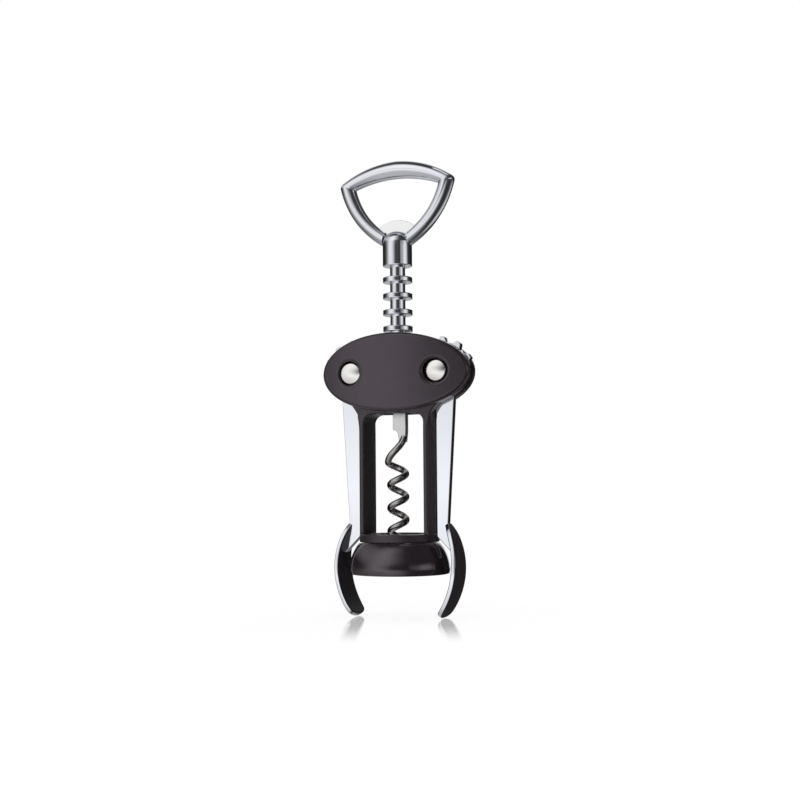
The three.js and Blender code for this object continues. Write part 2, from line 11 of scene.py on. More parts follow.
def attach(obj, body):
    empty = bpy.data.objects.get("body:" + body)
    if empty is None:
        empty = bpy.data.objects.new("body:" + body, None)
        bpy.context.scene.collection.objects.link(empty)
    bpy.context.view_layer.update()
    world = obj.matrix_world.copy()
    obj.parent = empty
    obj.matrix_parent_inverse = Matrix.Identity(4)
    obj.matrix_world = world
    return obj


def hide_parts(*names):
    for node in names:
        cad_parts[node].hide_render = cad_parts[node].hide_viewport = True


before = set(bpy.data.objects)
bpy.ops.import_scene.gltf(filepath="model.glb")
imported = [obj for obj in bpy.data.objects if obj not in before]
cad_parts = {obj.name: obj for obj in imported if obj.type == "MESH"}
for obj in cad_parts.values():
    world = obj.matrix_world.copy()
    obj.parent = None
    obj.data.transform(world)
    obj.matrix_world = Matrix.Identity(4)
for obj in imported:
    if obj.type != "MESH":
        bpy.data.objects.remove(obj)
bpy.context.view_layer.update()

# ---------------------------------------------------------------- viewpoint
# The tool is seen from the front and a little from its right, from below the middle of the shaft.
# The sizes in every section are written in millimetres and become metres as a mesh is made.
MM = 0.001
picture_width = 800
focal_pixels = 1315
sensor_width = 36
camera_place = Vector((206.8, -538.7, 57.0)) * MM
camera_aim = Vector((0.56, 0.215, 94.6)) * MM
camera_roll = math.radians(-0.45)

forward = (camera_aim - camera_place).normalized()
level = forward.cross(Vector((0, 0, 1))).normalized()
upright = level.cross(forward)
sideways = level * math.cos(camera_roll) + upright * math.sin(camera_roll)
upward = upright * math.cos(camera_roll) - level * math.sin(camera_roll)
camera = bpy.data.objects.new("camera", bpy.data.cameras.new("camera"))
camera.data.sensor_width = sensor_width
camera.data.lens = focal_pixels * sensor_width / picture_width
camera.data.clip_start = 1 * MM
camera.matrix_world = Matrix.Translation(camera_place) @ Matrix(
    (sideways, upward, -forward)).transposed().to_4x4()
bpy.context.scene.collection.objects.link(camera)
bpy.context.scene.camera = camera
bpy.context.scene.view_settings.view_transform = "Standard"


# ------------------------------------------------------------- studio light
# A white backdrop, a broad soft box to the left of the camera, a narrow one to its right and black
# cards beyond them, which draw the dark lines in the chrome.
def node(tree, kind, inputs=None, **settings):
    """A node with its settings and its inputs, each a value or another node's output."""
    made = tree.nodes.new(kind)
    for name, value in settings.items():
        setattr(made, name, value)
    for name, value in (inputs or {}).items():
        if isinstance(value, bpy.types.NodeSocket):
            tree.links.new(value, made.inputs[name])
        else:
            made.inputs[name].default_value = value
    return made


def math_node(tree, operation, a, b=0.0):
    return node(tree, "ShaderNodeMath", {0: a, 1: b}, operation=operation).outputs[0]


def ramp(tree, value, stops, interpolation="LINEAR"):
    """A colour ramp through (position, grey or colour)."""
    made = node(tree, "ShaderNodeValToRGB", {0: value})
    made.color_ramp.interpolation = interpolation
    points = made.color_ramp.elements
    while len(points) < len(stops):
        points.new(1.0)
    for point, (place, shade) in zip(points, stops):
        point.position = place
        point.color = (*shade, 1) if isinstance(shade, tuple) else (shade, shade, shade, 1)
    return made.outputs[0]


def between(tree, value, low, high):
    """0 up to the low value, 1 from the high one on."""
    return node(tree, "ShaderNodeMapRange", {"Value": value, 1: low, 2: high, 3: 0.0, 4: 1.0}).outputs[0]


def blended(tree, blend, a, b, factor=1.0):
    made = node(tree, "ShaderNodeMix", data_type="RGBA", blend_type=blend)
    for socket, value in ((0, factor), (6, a), (7, b)):
        if isinstance(value, bpy.types.NodeSocket):
            tree.links.new(value, made.inputs[socket])
        else:
            made.inputs[socket].default_value = value
    return made.outputs[2]


# Light that a mirror at the tool would show at each height above the horizon, all round. Heights and
# compass directions are in degrees, the compass from the tool's front towards its right.
light_round = {
    -80: [(-180, 0.10), (-120, 0.45), (-30, 0.40), (30, 0.28), (75, 0.04), (150, 0.06)],
    -60: [(-172, 0.40), (-142, 0.44), (-127, 0.50), (-112, 0.62), (-97, 0.55), (-67, 0.42), (-52, 0.42),
          (-37, 0.50), (-22, 0.48), (-7, 0.36), (22, 0.20), (52, 0.10), (67, 0.03), (97, 0.05), (112, 0.12),
          (142, 0.08), (165, 0.35)],
    -40: [(-172, 0.20), (-157, 0.30), (-142, 0.44), (-127, 0.60), (-112, 0.50), (-97, 0.38), (-52, 0.44),
          (-22, 0.46), (-7, 0.40), (7, 0.30), (28, 0.18), (41, 0.05), (60, 0.03), (92, 0.03), (110, 0.42),
          (127, 0.58), (142, 0.12), (157, 0.06), (170, 0.35)],
    -22: [(-178, 0.12), (-157, 0.32), (-142, 0.34), (-127, 0.20), (-97, 0.14), (-82, 0.18), (-67, 0.27),
          (-52, 0.40), (-37, 0.48), (0, 0.60), (12, 0.52), (23, 0.40), (37, 0.13), (49, 0.05), (64, 0.03),
          (95, 0.03), (108, 0.15), (118, 0.46), (130, 0.55), (145, 0.45), (152, 0.012)],
    -8: [(-178, 0.30), (-165, 0.45), (-150, 0.45), (-138, 0.25), (-120, 0.06), (-97, 0.13), (-82, 0.23), (-67, 0.39), (-52, 0.54), (-37, 0.64), (-24, 0.70), (-7, 0.86),
         (7, 0.80), (20, 0.62), (28, 0.42), (43, 0.07), (58, 0.03), (88, 0.03), (103, 0.06), (120, 0.32),
         (138, 0.44), (150, 0.012)],
    0: [(-110, 0.06), (-92, 0.09), (-78, 0.20), (-65, 0.42), (-52, 0.64), (-38, 0.76), (-30, 0.88), (-24, 1.0),
        (-14, 0.98), (-5, 0.93), (6, 0.86), (14, 0.73), (24, 0.44), (36, 0.13), (43, 0.06), (100, 0.03),
        (150, 0.012)],
    5: [(-98, 0.03), (-83, 0.07), (-71, 0.17), (-61, 0.40), (-51, 0.64), (-42, 0.82), (-33, 0.86), (-25, 0.84),
        (-17, 0.74), (-9, 0.52), (-1, 0.20), (7, 0.06), (22, 0.06), (38, 0.04), (52, 0.26), (62, 0.42),
        (70, 0.68), (79, 0.86), (90, 0.76), (99, 0.52), (108, 0.12), (116, 0.03), (150, 0.012)],
    11: [(-98, 0.02), (-83, 0.06), (-71, 0.17), (-61, 0.40), (-51, 0.66), (-42, 0.84), (-33, 0.86), (-25, 0.76),
         (-17, 0.62), (-9, 0.41), (-1, 0.15), (6, 0.04), (22, 0.06), (38, 0.02), (45, 0.27), (52, 0.37), (60, 0.36),
         (69, 0.64), (77, 0.86), (86, 0.74), (95, 0.52), (104, 0.10), (112, 0.03),
         (150, 0.012)],
    18: [(-178, 0.95), (-150, 0.90), (-135, 0.50), (-105, 0.20), (-90, 0.26), (-75, 0.38), (-60, 0.50), (-45, 0.76), (-30, 0.90), (-18, 0.88), (-7, 0.66),
         (3, 0.36), (14, 0.14), (30, 0.05), (97, 0.04), (150, 0.012), (168, 0.012), (176, 0.90)],
    27: [(-178, 0.90), (-150, 0.85), (-130, 0.50), (-110, 0.30), (-97, 0.44), (-82, 0.52), (-67, 0.58), (-52, 0.70), (-37, 0.86), (-22, 0.94), (-7, 0.84),
         (3, 0.63), (18, 0.31), (34, 0.08), (52, 0.04), (166, 0.04), (176, 0.70)],
    44: [(-178, 0.55), (-150, 0.50), (-130, 0.30), (-115, 0.15), (-97, 0.32), (-82, 0.36), (-67, 0.50), (-52, 0.66), (-37, 0.86), (-22, 1.0), (-7, 0.84),
         (3, 0.62), (18, 0.30), (34, 0.08), (52, 0.04), (168, 0.05), (176, 0.40)],
    57: [(-178, 0.25), (-150, 0.20), (-100, 0.06), (-65, 0.08), (-50, 0.20), (-37, 0.52), (-22, 0.76), (-7, 0.80), (10, 0.52), (24, 0.34), (36, 0.10),
         (50, 0.05), (168, 0.05), (176, 0.20)],
    68: [(-60, 0.05), (-40, 0.08), (-20, 0.12), (-6, 0.24), (25, 0.20), (45, 0.08), (60, 0.05)],
    78: [(0, 0.05)]}


def compass_share(degrees):
    """Where a compass direction falls on a ramp."""
    return degrees / 360 + 0.5


world = bpy.data.worlds.new("studio")
bpy.context.scene.world = world
world.use_nodes = True
world.cycles.sampling_method = "NONE"
sky = world.node_tree
sky.nodes.clear()
direction = node(sky, "ShaderNodeSeparateXYZ", {0: node(sky, "ShaderNodeTexCoord").outputs["Generated"]})
compass = math_node(sky, "ARCTAN2", direction.outputs[0], math_node(sky, "MULTIPLY", direction.outputs[1], -1))
compass = math_node(sky, "ADD", math_node(sky, "DIVIDE", compass, 2 * math.pi), 0.5)
height = math_node(sky, "DEGREES", math_node(sky, "ARCSINE", direction.outputs[2]))
seen_in_gloss, last_height = None, None
for band_height, stops in light_round.items():
    band = ramp(sky, compass, [(compass_share(at), light) for at, light in stops])
    if seen_in_gloss:
        band = blended(sky, "MIX", seen_in_gloss, band, between(sky, height, last_height, band_height))
    seen_in_gloss, last_height = band, band_height
backdrop = ramp(sky, compass, [(compass_share(-145), 1.0), (compass_share(-141), 0.0), (compass_share(174), 0.0),
                               (compass_share(178), 1.0)])
backdrop = blended(sky, "MULTIPLY", backdrop, blended(
    sky, "MULTIPLY", between(sky, height, -4, -2), between(sky, height, 18, 14)))
seen_in_gloss = blended(sky, "LIGHTEN", seen_in_gloss, backdrop)
rays = node(sky, "ShaderNodeLightPath")
even_light = (0.95, 0.95, 0.95, 1)
light = blended(sky, "MIX", even_light, seen_in_gloss, rays.outputs["Is Glossy Ray"])
light = blended(sky, "MIX", light, (1, 1, 1, 1), rays.outputs["Is Singular Ray"])
light = blended(sky, "MIX", light, (1, 1, 1, 1), rays.outputs["Is Camera Ray"])
node(sky, "ShaderNodeOutputWorld", {0: node(sky, "ShaderNodeBackground", {0: light, 1: 1.0}).outputs[0]})


# ------------------------------------------------------------------- table
# Glossy white acrylic: it keeps a soft shadow, and mirrors the lever tips close to the tool.
table_size = 6.0
table_mirror = [(0.040, 0.54), (0.050, 0.48), (0.063, 0.34), (0.076, 0.17), (0.089, 0.04), (0.098, 0.0)]
table_white_share, table_glow = 0.75, 1.06

table_mesh = bpy.data.meshes.new("table")
reach = table_size / 2
table_mesh.from_pydata([(-reach, -reach, 0), (reach, -reach, 0), (reach, reach, 0), (-reach, reach, 0)],
                       [], [(0, 1, 2, 3)])
table = bpy.data.objects.new("table", table_mesh)
bpy.context.scene.collection.objects.link(table)
acrylic = bpy.data.materials.new("white_acrylic")
acrylic.use_nodes = True
tree = acrylic.node_tree
tree.nodes.clear()
from_tool = node(tree, "ShaderNodeVectorMath", {0: node(tree, "ShaderNodeTexCoord").outputs["Object"]},
                 operation="LENGTH").outputs["Value"]
matt = node(tree, "ShaderNodeBsdfDiffuse", {0: (0.9, 0.9, 0.9, 1)}).outputs[0]
white = node(tree, "ShaderNodeEmission", {0: (1, 1, 1, 1), 1: table_glow}).outputs[0]
polish = node(tree, "ShaderNodeTexNoise", {
    "Vector": node(tree, "ShaderNodeTexCoord").outputs["Object"], "Scale": 9000.0, "Detail": 0.0}).outputs[0]
ripple = node(tree, "ShaderNodeBump", {"Height": polish, "Distance": 0.000003}).outputs[0]
mirror = node(tree, "ShaderNodeBsdfGlossy", {"Color": (1, 1, 1, 1), "Roughness": 0.0, "Normal": ripple}).outputs[0]
seen = node(tree, "ShaderNodeMixShader", {0: table_white_share, 1: matt, 2: white}).outputs[0]
seen = node(tree, "ShaderNodeMixShader", {0: ramp(tree, from_tool, table_mirror), 1: seen, 2: mirror}).outputs[0]
view = node(tree, "ShaderNodeLightPath").outputs["Is Camera Ray"]
node(tree, "ShaderNodeOutputMaterial",
     {0: node(tree, "ShaderNodeMixShader", {0: view, 1: matt, 2: seen}).outputs[0]})
table_mesh.materials.append(acrylic)
table.visible_glossy = False


# ------------------------------------------------------------ frame casting
# One zinc casting, sprayed dark brown-grey: two posts that flare into a neck, cheeks on both sides of
# the gears, the tower that guides the shaft and, at the foot, the collar that the bell hangs from.
post_radius = 17.0
post_front_x = 15.256
post_inner_x = 13.8
post_half_depth = 7.5
post_foot = 35.6
collar_radius, cork_hole_radius = 17.5, 12.5
collar_bottom, collar_top = 32.6, 36.1
window_top, window_corner = 88.4, 4.0
neck_bottom, neck_radius, neck_top_x, neck_top = 81.0, 16.0, 25.0, 97.2
neck_inset = 2.8
pivot_x, pivot_height = 19.7965, 106.4
head_half_width, head_half_height = 34.2, 17.1
head_depth, head_sagitta = 11.0, 5.6
head_bend = (head_half_width ** 2 + head_sagitta ** 2) / (2 * head_sagitta)
slot_half, cheek_outer, cheek_inset = 2.2, 3.6, 2.8
tower_radius, bore_radius, tower_top, slot_bottom, slot_top = 9.0, 7.1, 122.6, 90.6, 119.6
bush_radius, bush_length = 7.7, 2.6
boss_radius, boss_front, boss_back, pin_bore = 4.7, 6.26, 5.46, 2.8
edge_roll = 0.6
plum = (1.0, 0.88, 1.0, 1)
gear_room, arm_room_x = 15.8, 17.6
coating_light, coating_dark = (0.0175, 0.0128, 0.0150), (0.0140, 0.0100, 0.0118)


def front_depth(x):
    """How far the head's front stands off the mid plane."""
    return head_depth - head_bend + np.sqrt(head_bend ** 2 - x * x)


def arc(cx, cy, radius, start, end, steps):
    return [(cx + radius * math.cos(math.radians(start + (end - start) * i / steps)),
             cy + radius * math.sin(math.radians(start + (end - start) * i / steps)))
            for i in range(steps + 1)]


def spaced(start, end, step):
    """Points on a straight line, a step or less apart, without its last one."""
    start, end = np.array(start, float), np.array(end, float)
    count = max(1, math.ceil(np.linalg.norm(end - start) / step))
    return [tuple(start + (end - start) * i / count) for i in range(count)]


def eased(points, radius, closed=False, steps=4, land=0.15):
    """An outline with each corner turned into a short curve, and a land beside it that keeps what is
    flat flat."""
    out = []
    for i, corner in enumerate(points):
        if not closed and i in (0, len(points) - 1):
            out.append(tuple(corner))
            continue
        corner = np.array(corner, float)
        before = np.array(points[i - 1], float) - corner
        after = np.array(points[(i + 1) % len(points)], float) - corner
        long_before, long_after = np.linalg.norm(before), np.linalg.norm(after)
        start = corner + before / long_before * min(radius, long_before * 0.45)
        end = corner + after / long_after * min(radius, long_after * 0.45)
        if radius + land < long_before * 0.45:
            out.append(tuple(corner + before / long_before * (radius + land)))
        for k in range(steps + 1):
            t = k / steps
            out.append(tuple(start * (1 - t) ** 2 + corner * 2 * t * (1 - t) + end * t * t))
        if radius + land < long_after * 0.45:
            out.append(tuple(corner + after / long_after * (radius + land)))
    return out


def turned(profile, closed=False, steps=96):
    """A profile of (radius, height) turned about the shaft's axis."""
    points = [(radius * math.cos(2 * math.pi * s / steps), radius * math.sin(2 * math.pi * s / steps), z)
              for s in range(steps) for radius, z in profile]
    count = len(profile)
    faces = []
    for s in range(steps):
        a, b = s * count, (s + 1) % steps * count
        for i in range(count if closed else count - 1):
            j = (i + 1) % count
            faces.append((a + i, b + i, b + j, a + j))
    return points, faces


def joined(*shapes):
    points, faces = [], []
    for more_points, more_faces in shapes:
        base = len(points)
        points += list(more_points)
        faces += [tuple(base + i for i in face) for face in more_faces]
    return points, faces


def moved(shape, change):
    points, faces = shape
    return [change(*p) for p in points], faces


def along_y(x, z, sign=1):
    """Lays a turned shape along Y through (x, z), its top towards +Y, or -Y with sign -1."""
    return lambda px, py, pz: (x + px, sign * pz, z + py)


def box(x0, x1, y0, y1, z0, z1):
    points = [(x, y, z) for x in (x0, x1) for y in (y0, y1) for z in (z0, z1)]
    return points, [(0, 1, 3, 2), (4, 6, 7, 5), (0, 4, 5, 1), (2, 3, 7, 6), (0, 2, 6, 4), (1, 5, 7, 3)]


def inside(places, loops):
    """Which places lie inside an odd number of the loops."""
    within = np.zeros(len(places), bool)
    for loop in loops:
        x0, y0 = np.array(loop).T
        x1, y1 = np.roll(x0, -1), np.roll(y0, -1)
        for i in range(len(x0)):
            crosses = (y0[i] > places[:, 1]) != (y1[i] > places[:, 1])
            rise = (y1[i] - y0[i]) or 1e-12
            within ^= crosses & (places[:, 0] < (x1[i] - x0[i]) * (places[:, 1] - y0[i]) / rise + x0[i])
    return within


def filled(loops, pitch):
    """Triangles that fill the first loop but not the others, with a grid of points a pitch apart."""
    points = [p for loop in loops for p in loop]
    edges, start = [], 0
    for loop in loops:
        edges += [(start + i, start + (i + 1) % len(loop)) for i in range(len(loop))]
        start += len(loop)
    if pitch:
        low, high = np.min(loops[0], 0), np.max(loops[0], 0)
        grid = np.array([(x, y) for x in np.arange(low[0] + pitch / 2, high[0], pitch)
                         for y in np.arange(low[1] + pitch / 2, high[1], pitch)])
        grid = grid[inside(grid, loops)]
        rim = np.array(points)
        clear = np.array([np.min(np.hypot(*(rim - g).T)) > pitch * 0.4 for g in grid])
        points = points + [tuple(g) for g in grid[clear]]
    made = geometry.delaunay_2d_cdt([Vector(p) for p in points], edges, [], 0, 1e-7)
    triangles = np.array([t for t in made[2] if len(t) == 3])
    centres = np.array(made[0])[triangles].mean(axis=1)
    origin = [found[0] if found else -1 for found in made[3]]
    kept = triangles[inside(centres, loops)]
    return points, [tuple(origin[i] for i in t) for t in kept]


def rolled_plate(outlines, front, back, front_roll, back_roll, pitch=0, steps=5, place=None, land=0.12):
    """A plate between two faces, its edges rolled. The outlines are (u, v), the outer one anticlockwise
    and then its holes clockwise. Each face is a depth, and each roll a (width, drop), at (u, v). A land
    just inside the roll keeps the face flat."""
    place = place or (lambda u, v, t: (u, t, v))
    points, faces = [], []
    rims = []
    for side, (face, roll) in enumerate(((front, front_roll), (back, back_roll))):
        sign = 1 if side == 0 else -1
        inner_loops, inner_ids = [], []
        for number, outline in enumerate(outlines):
            ring = np.array(outline, float)
            ring = ring[np.linalg.norm(ring - np.roll(ring, 1, 0), axis=1) > 1e-4]
            ahead = np.roll(ring, -1, 0) - ring
            ahead /= np.linalg.norm(ahead, axis=1)[:, None]
            behind = np.roll(ahead, 1, 0)
            inward = np.stack([-(ahead + behind)[:, 1], (ahead + behind)[:, 0]], 1)
            inward /= np.linalg.norm(inward, axis=1)[:, None]
            square = np.stack([-ahead[:, 1], ahead[:, 0]], 1)
            inward /= np.maximum(0.6, np.sum(inward * square, 1))[:, None]
            sizes = np.array([roll(u, v) for u, v in ring])
            previous = None
            for k in range(steps + 2):
                angle = math.pi / 2 * min(k / steps, 1)
                at = ring + inward * (sizes[:, :1] * (1 - math.cos(angle)) + (land if k > steps else 0))
                sunk = sizes[:, 1] * (1 - math.sin(angle))
                ids = list(range(len(points), len(points) + len(at)))
                points += [place(u, v, face(u, v) + sign * s) for (u, v), s in zip(at, sunk)]
                if previous:
                    faces += [(previous[i], previous[(i + 1) % len(ids)], ids[(i + 1) % len(ids)], ids[i])
                              for i in range(len(ids))]
                else:
                    rims.append(ids)
                previous = ids
            inner_loops.append([tuple(p) for p in at])
            inner_ids += previous
        spots, triangles = filled(inner_loops, pitch)
        extra = spots[len(inner_ids):]
        ids = inner_ids + list(range(len(points), len(points) + len(extra)))
        points += [place(u, v, face(u, v)) for u, v in extra]
        faces += [tuple(ids[i] for i in t) for t in triangles]
    half = len(rims) // 2
    for a, b in zip(rims[:half], rims[half:]):
        faces += [(a[i], a[(i + 1) % len(a)], b[(i + 1) % len(a)], b[i]) for i in range(len(a))]
    return points, faces


def same(*values):
    """A face or a roll that is the same everywhere."""
    return lambda u, v: values if len(values) > 1 else values[0]


def piece_of(name, shape, crease=32):
    """A piece from points in millimetres: welded, facing outwards and smooth up to its creases."""
    points, faces = shape
    mesh = bpy.data.meshes.new(name)
    mesh.from_pydata([tuple(MM * float(c) for c in p) for p in points], [], faces)
    worked = bmesh.new()
    worked.from_mesh(mesh)
    bmesh.ops.remove_doubles(worked, verts=worked.verts, dist=0.004 * MM)
    bmesh.ops.dissolve_degenerate(worked, edges=worked.edges, dist=0.001 * MM)
    bmesh.ops.recalc_face_normals(worked, faces=worked.faces)
    worked.to_mesh(mesh)
    worked.free()
    made = bpy.data.objects.new(name, mesh)
    bpy.context.scene.collection.objects.link(made)
    soften(made, crease)
    return made


def soften(piece, crease=32):
    piece.data.shade_smooth()
    piece.data.set_sharp_from_angle(angle=math.radians(crease))


def closed_up(piece):
    """Welds what a cut leaves a hair apart and fills any crack."""
    worked = bmesh.new()
    worked.from_mesh(piece.data)
    bmesh.ops.remove_doubles(worked, verts=worked.verts, dist=0.002 * MM)
    bmesh.ops.dissolve_degenerate(worked, edges=worked.edges, dist=0.0005 * MM)
    bmesh.ops.holes_fill(worked, edges=[e for e in worked.edges if len(e.link_faces) == 1], sides=12)
    bmesh.ops.recalc_face_normals(worked, faces=worked.faces)
    worked.to_mesh(piece.data)
    worked.free()


def plain_mesh(piece):
    """Turns what a piece's modifiers make into its own plain mesh."""
    bpy.context.view_layer.update()
    result = bpy.data.meshes.new_from_object(piece.evaluated_get(bpy.context.evaluated_depsgraph_get()))
    piece.modifiers.clear()
    piece.data = result


def cut(piece, *shapes, crease=32):
    """Cuts closed shapes away from a piece."""
    for shape in shapes:
        tool = piece_of("cutter", shape)
        cutting = piece.modifiers.new("cut", "BOOLEAN")
        cutting.operation = "DIFFERENCE"
        cutting.solver = "EXACT"
        cutting.object = tool
        plain_mesh(piece)
        bpy.data.objects.remove(tool)
    closed_up(piece)
    soften(piece, crease)
    return piece


def one_piece(name, *parts):
    """Several finished meshes as one piece."""
    worked = bmesh.new()
    for part in parts:
        worked.from_mesh(part.data)
        bpy.data.objects.remove(part)
    mesh = bpy.data.meshes.new(name)
    worked.to_mesh(mesh)
    worked.free()
    made = bpy.data.objects.new(name, mesh)
    bpy.context.scene.collection.objects.link(made)
    return made


def finish_of(name, base, **sockets):
    """A material with a Principled shader, and its tree and texture coordinates."""
    material = bpy.data.materials.new(name)
    material.use_nodes = True
    tree = material.node_tree
    shader = tree.nodes["Principled BSDF"]
    shader.inputs["Base Color"].default_value = (*base, 1)
    for socket, value in sockets.items():
        shader.inputs[socket.replace("_", " ")].default_value = value
    return material, tree, shader, node(tree, "ShaderNodeTexCoord").outputs["Object"]


def noise(tree, where, size, detail=3.0):
    """Noise with grains of about this size in millimetres."""
    return node(tree, "ShaderNodeTexNoise", {"Vector": where, "Scale": 1 / (size * MM), "Detail": detail}).outputs[0]


def bump(tree, shader, texture, depth, strength=1.0):
    """Relief of this depth in millimetres."""
    relief = node(tree, "ShaderNodeBump", {"Height": texture, "Distance": depth * MM, "Strength": strength})
    tree.links.new(relief.outputs[0], shader.inputs["Normal"])


def spread(tree, texture, low, high):
    """A texture's middle range stretched to run from low to high."""
    return node(tree, "ShaderNodeMapRange", {"Value": texture, 1: 0.3, 2: 0.7, 3: low, 4: high}).outputs[0]


def sprayed(name, dark, light, rough, gloss, peel):
    """Sprayed coat: cloudy in colour and gloss, with a fine orange peel."""
    material, tree, shader, where = finish_of(name, light, Specular_IOR_Level=gloss, Specular_Tint=plum)
    clouds = noise(tree, where, 5)
    tree.links.new(blended(tree, "MIX", (*dark, 1), (*light, 1), spread(tree, clouds, 0.0, 1.0)),
                   shader.inputs["Base Color"])
    tree.links.new(spread(tree, noise(tree, where, 1.5), rough - 0.03, rough + 0.03), shader.inputs["Roughness"])
    bump(tree, shader, noise(tree, where, 0.35, 2), peel)
    return material


def settle(piece, body, nodes, slot, *materials):
    """Gives a piece its finish, its body and the nodes that it stands for."""
    piece.data.materials.clear()
    for material in materials:
        piece.data.materials.append(material)
    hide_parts(*nodes)
    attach(piece, body)


def ellipse(inset, steps):
    return [((head_half_width - inset) * math.cos(2 * math.pi * i / steps),
             pivot_height + (head_half_height - inset) * math.sin(2 * math.pi * i / steps))
            for i in range(steps)]


def flare_x(z):
    """The neck's outer edge at a height, in the plane of the posts' fronts."""
    up = min(max(z - neck_bottom, 0), neck_radius - 0.01)
    return post_front_x + neck_radius - math.sqrt(neck_radius ** 2 - up ** 2)


def neck_share(z):
    t = min(max((z - 79) / 11, 0), 1)
    return t * t * (3 - 2 * t)


def post_face(x, z):
    share = neck_share(z)
    return post_half_depth * (1 - share) + (front_depth(x) - neck_inset) * share


def post_roll(x, z):
    """The posts' outsides are rounded right across; every other edge is only broken."""
    outside = max(post_radius, flare_x(z))
    if abs(x) < outside - 0.5 or z > neck_top - 1:
        return edge_roll, edge_roll
    share = neck_share(z)
    return (max(post_radius - flare_x(z), edge_roll),
            (post_half_depth - 0.3) * (1 - share) + edge_roll * share)


def post_outline():
    heights = np.linspace(post_foot, neck_bottom - 4, 18)
    heights = np.concatenate([heights, np.linspace(neck_bottom - 3, neck_bottom + 14.6, 34)])
    right = [(max(post_radius, flare_x(z)), z) for z in heights]
    right += [(neck_top_x, neck_top - 0.8)]
    top = spaced((neck_top_x - 0.8, neck_top), (0.8 - neck_top_x, neck_top), 2) + [(0.8 - neck_top_x, neck_top)]
    left = [(-x, z) for x, z in reversed(right)]
    corner_x, corner_z = post_inner_x - window_corner, window_top - window_corner
    inner = spaced((-post_inner_x, post_foot), (-post_inner_x, corner_z), 2)
    inner += arc(-corner_x, corner_z, window_corner, 180, 90, 10)[:-1]
    inner += spaced((-corner_x, window_top), (corner_x, window_top), 1)
    inner += arc(corner_x, corner_z, window_corner, 90, 0, 10)[:-1]
    inner += spaced((post_inner_x, corner_z), (post_inner_x, post_foot), 2)
    return right + top + left + inner + spaced((post_inner_x, post_foot), (post_radius, post_foot), 1)


posts = piece_of("posts", rolled_plate(
    [post_outline()], lambda x, z: -post_face(x, z), post_face, post_roll, post_roll, pitch=2))
bore = turned([(0, 60), (bore_radius, 60), (bore_radius, 130), (0, 130)])
gear_rooms = [moved(turned([(0, -slot_half), (gear_room, -slot_half), (gear_room, slot_half), (0, slot_half)]),
                    along_y(side * pivot_x, pivot_height)) for side in (-1, 1)]
arm_rooms = [box(arm_room_x, 40, -slot_half, slot_half, 80, pivot_height),
             box(-40, -arm_room_x, -slot_half, slot_half, 80, pivot_height)]
head_slot = box(-40, 40, -slot_half, slot_half, slot_bottom, slot_top)
cut(posts, bore, *gear_rooms, *arm_rooms, head_slot)

tower_section = eased([
    (bore_radius, window_top), (tower_radius, window_top), (tower_radius, tower_top),
    (bush_radius + 0.1, tower_top), (bush_radius + 0.1, tower_top - bush_length), (bore_radius, tower_top - bush_length)],
    0.3, closed=True)
tower = cut(piece_of("tower", turned(tower_section, closed=True)), *gear_rooms, head_slot)
cheeks = piece_of("cheeks", joined(*[
    rolled_plate([ellipse(cheek_inset, 96)], same(low), same(high), same(0.2, 0.2), same(0.2, 0.2), steps=2)
    for low, high in ((-cheek_outer, -slot_half), (slot_half, cheek_outer))]))
cut(cheeks, turned([(0, 80), (tower_radius - 0.5, 80), (tower_radius - 0.5, 130), (0, 130)]),
    *[moved(turned([(0, -9), (pin_bore, -9), (pin_bore, 9), (0, 9)]), along_y(side * pivot_x, pivot_height))
      for side in (-1, 1)])


def boss(side, facing, height):
    section = eased([(pin_bore, slot_half), (boss_radius, slot_half), (boss_radius, height), (pin_bore, height)],
                    0.25, closed=True)
    return moved(turned(section, closed=True, steps=64), along_y(side * pivot_x, pivot_height, facing))


bosses = piece_of("bosses", joined(*[boss(side, facing, height) for side in (-1, 1)
                                     for facing, height in ((-1, boss_front), (1, boss_back))]))
collar = piece_of("collar", turned(eased([
    (cork_hole_radius, collar_bottom), (collar_radius, collar_bottom), (collar_radius, collar_top),
    (cork_hole_radius, collar_top)], 0.55, closed=True, steps=6), closed=True, steps=160))
casting = one_piece("frame_casting", posts, tower, cheeks, bosses, collar)
soften(casting)
coating = sprayed("sprayed_coating", coating_dark, coating_light, 0.33, 0.9, 0.006)
settle(casting, "frame", ["frame"], "coated_black", coating)


# -------------------------------------------------------------- head covers
# Two moulded shells with a soft-touch skin, bowed in plan and rolled at the rim. Each has two sunk
# holes for the pivot pins, and the shells leave a slot between them for the gears.
cover_base = 2.2
cover_roll = 1.5
cover_rim, cover_skin = 1.5, 1.7
pin_hole, sink_radius, sink_depth = 5.4, 6.7, 1.0
cover_dark, cover_light = (0.0165, 0.0125, 0.0150), (0.0195, 0.0150, 0.0180)


def pin_holes(radius, steps=64):
    return [[(side * pivot_x + radius * math.cos(-2 * math.pi * i / steps),
              pivot_height + radius * math.sin(-2 * math.pi * i / steps)) for i in range(steps)]
            for side in (-1, 1)]


def cover_edge(x, z):
    near = min(math.hypot(x - pivot_x, z - pivot_height), math.hypot(x + pivot_x, z - pivot_height))
    return (sink_radius - pin_hole, sink_depth) if near < sink_radius else (cover_roll, cover_roll)


def cover_shape():
    return rolled_plate([ellipse(0, 200), *pin_holes(pin_hole)], lambda x, z: -front_depth(x), same(-cover_base),
                        cover_edge, same(0.12, 0.12), pitch=1.6, steps=8)


def cover_room():
    """The hollow behind a cover's skin."""
    return rolled_plate([ellipse(cover_rim, 120)], lambda x, z: cover_skin - front_depth(x), same(0),
                        same(0.6, 0.6), same(0.1, 0.1), pitch=3, steps=3)


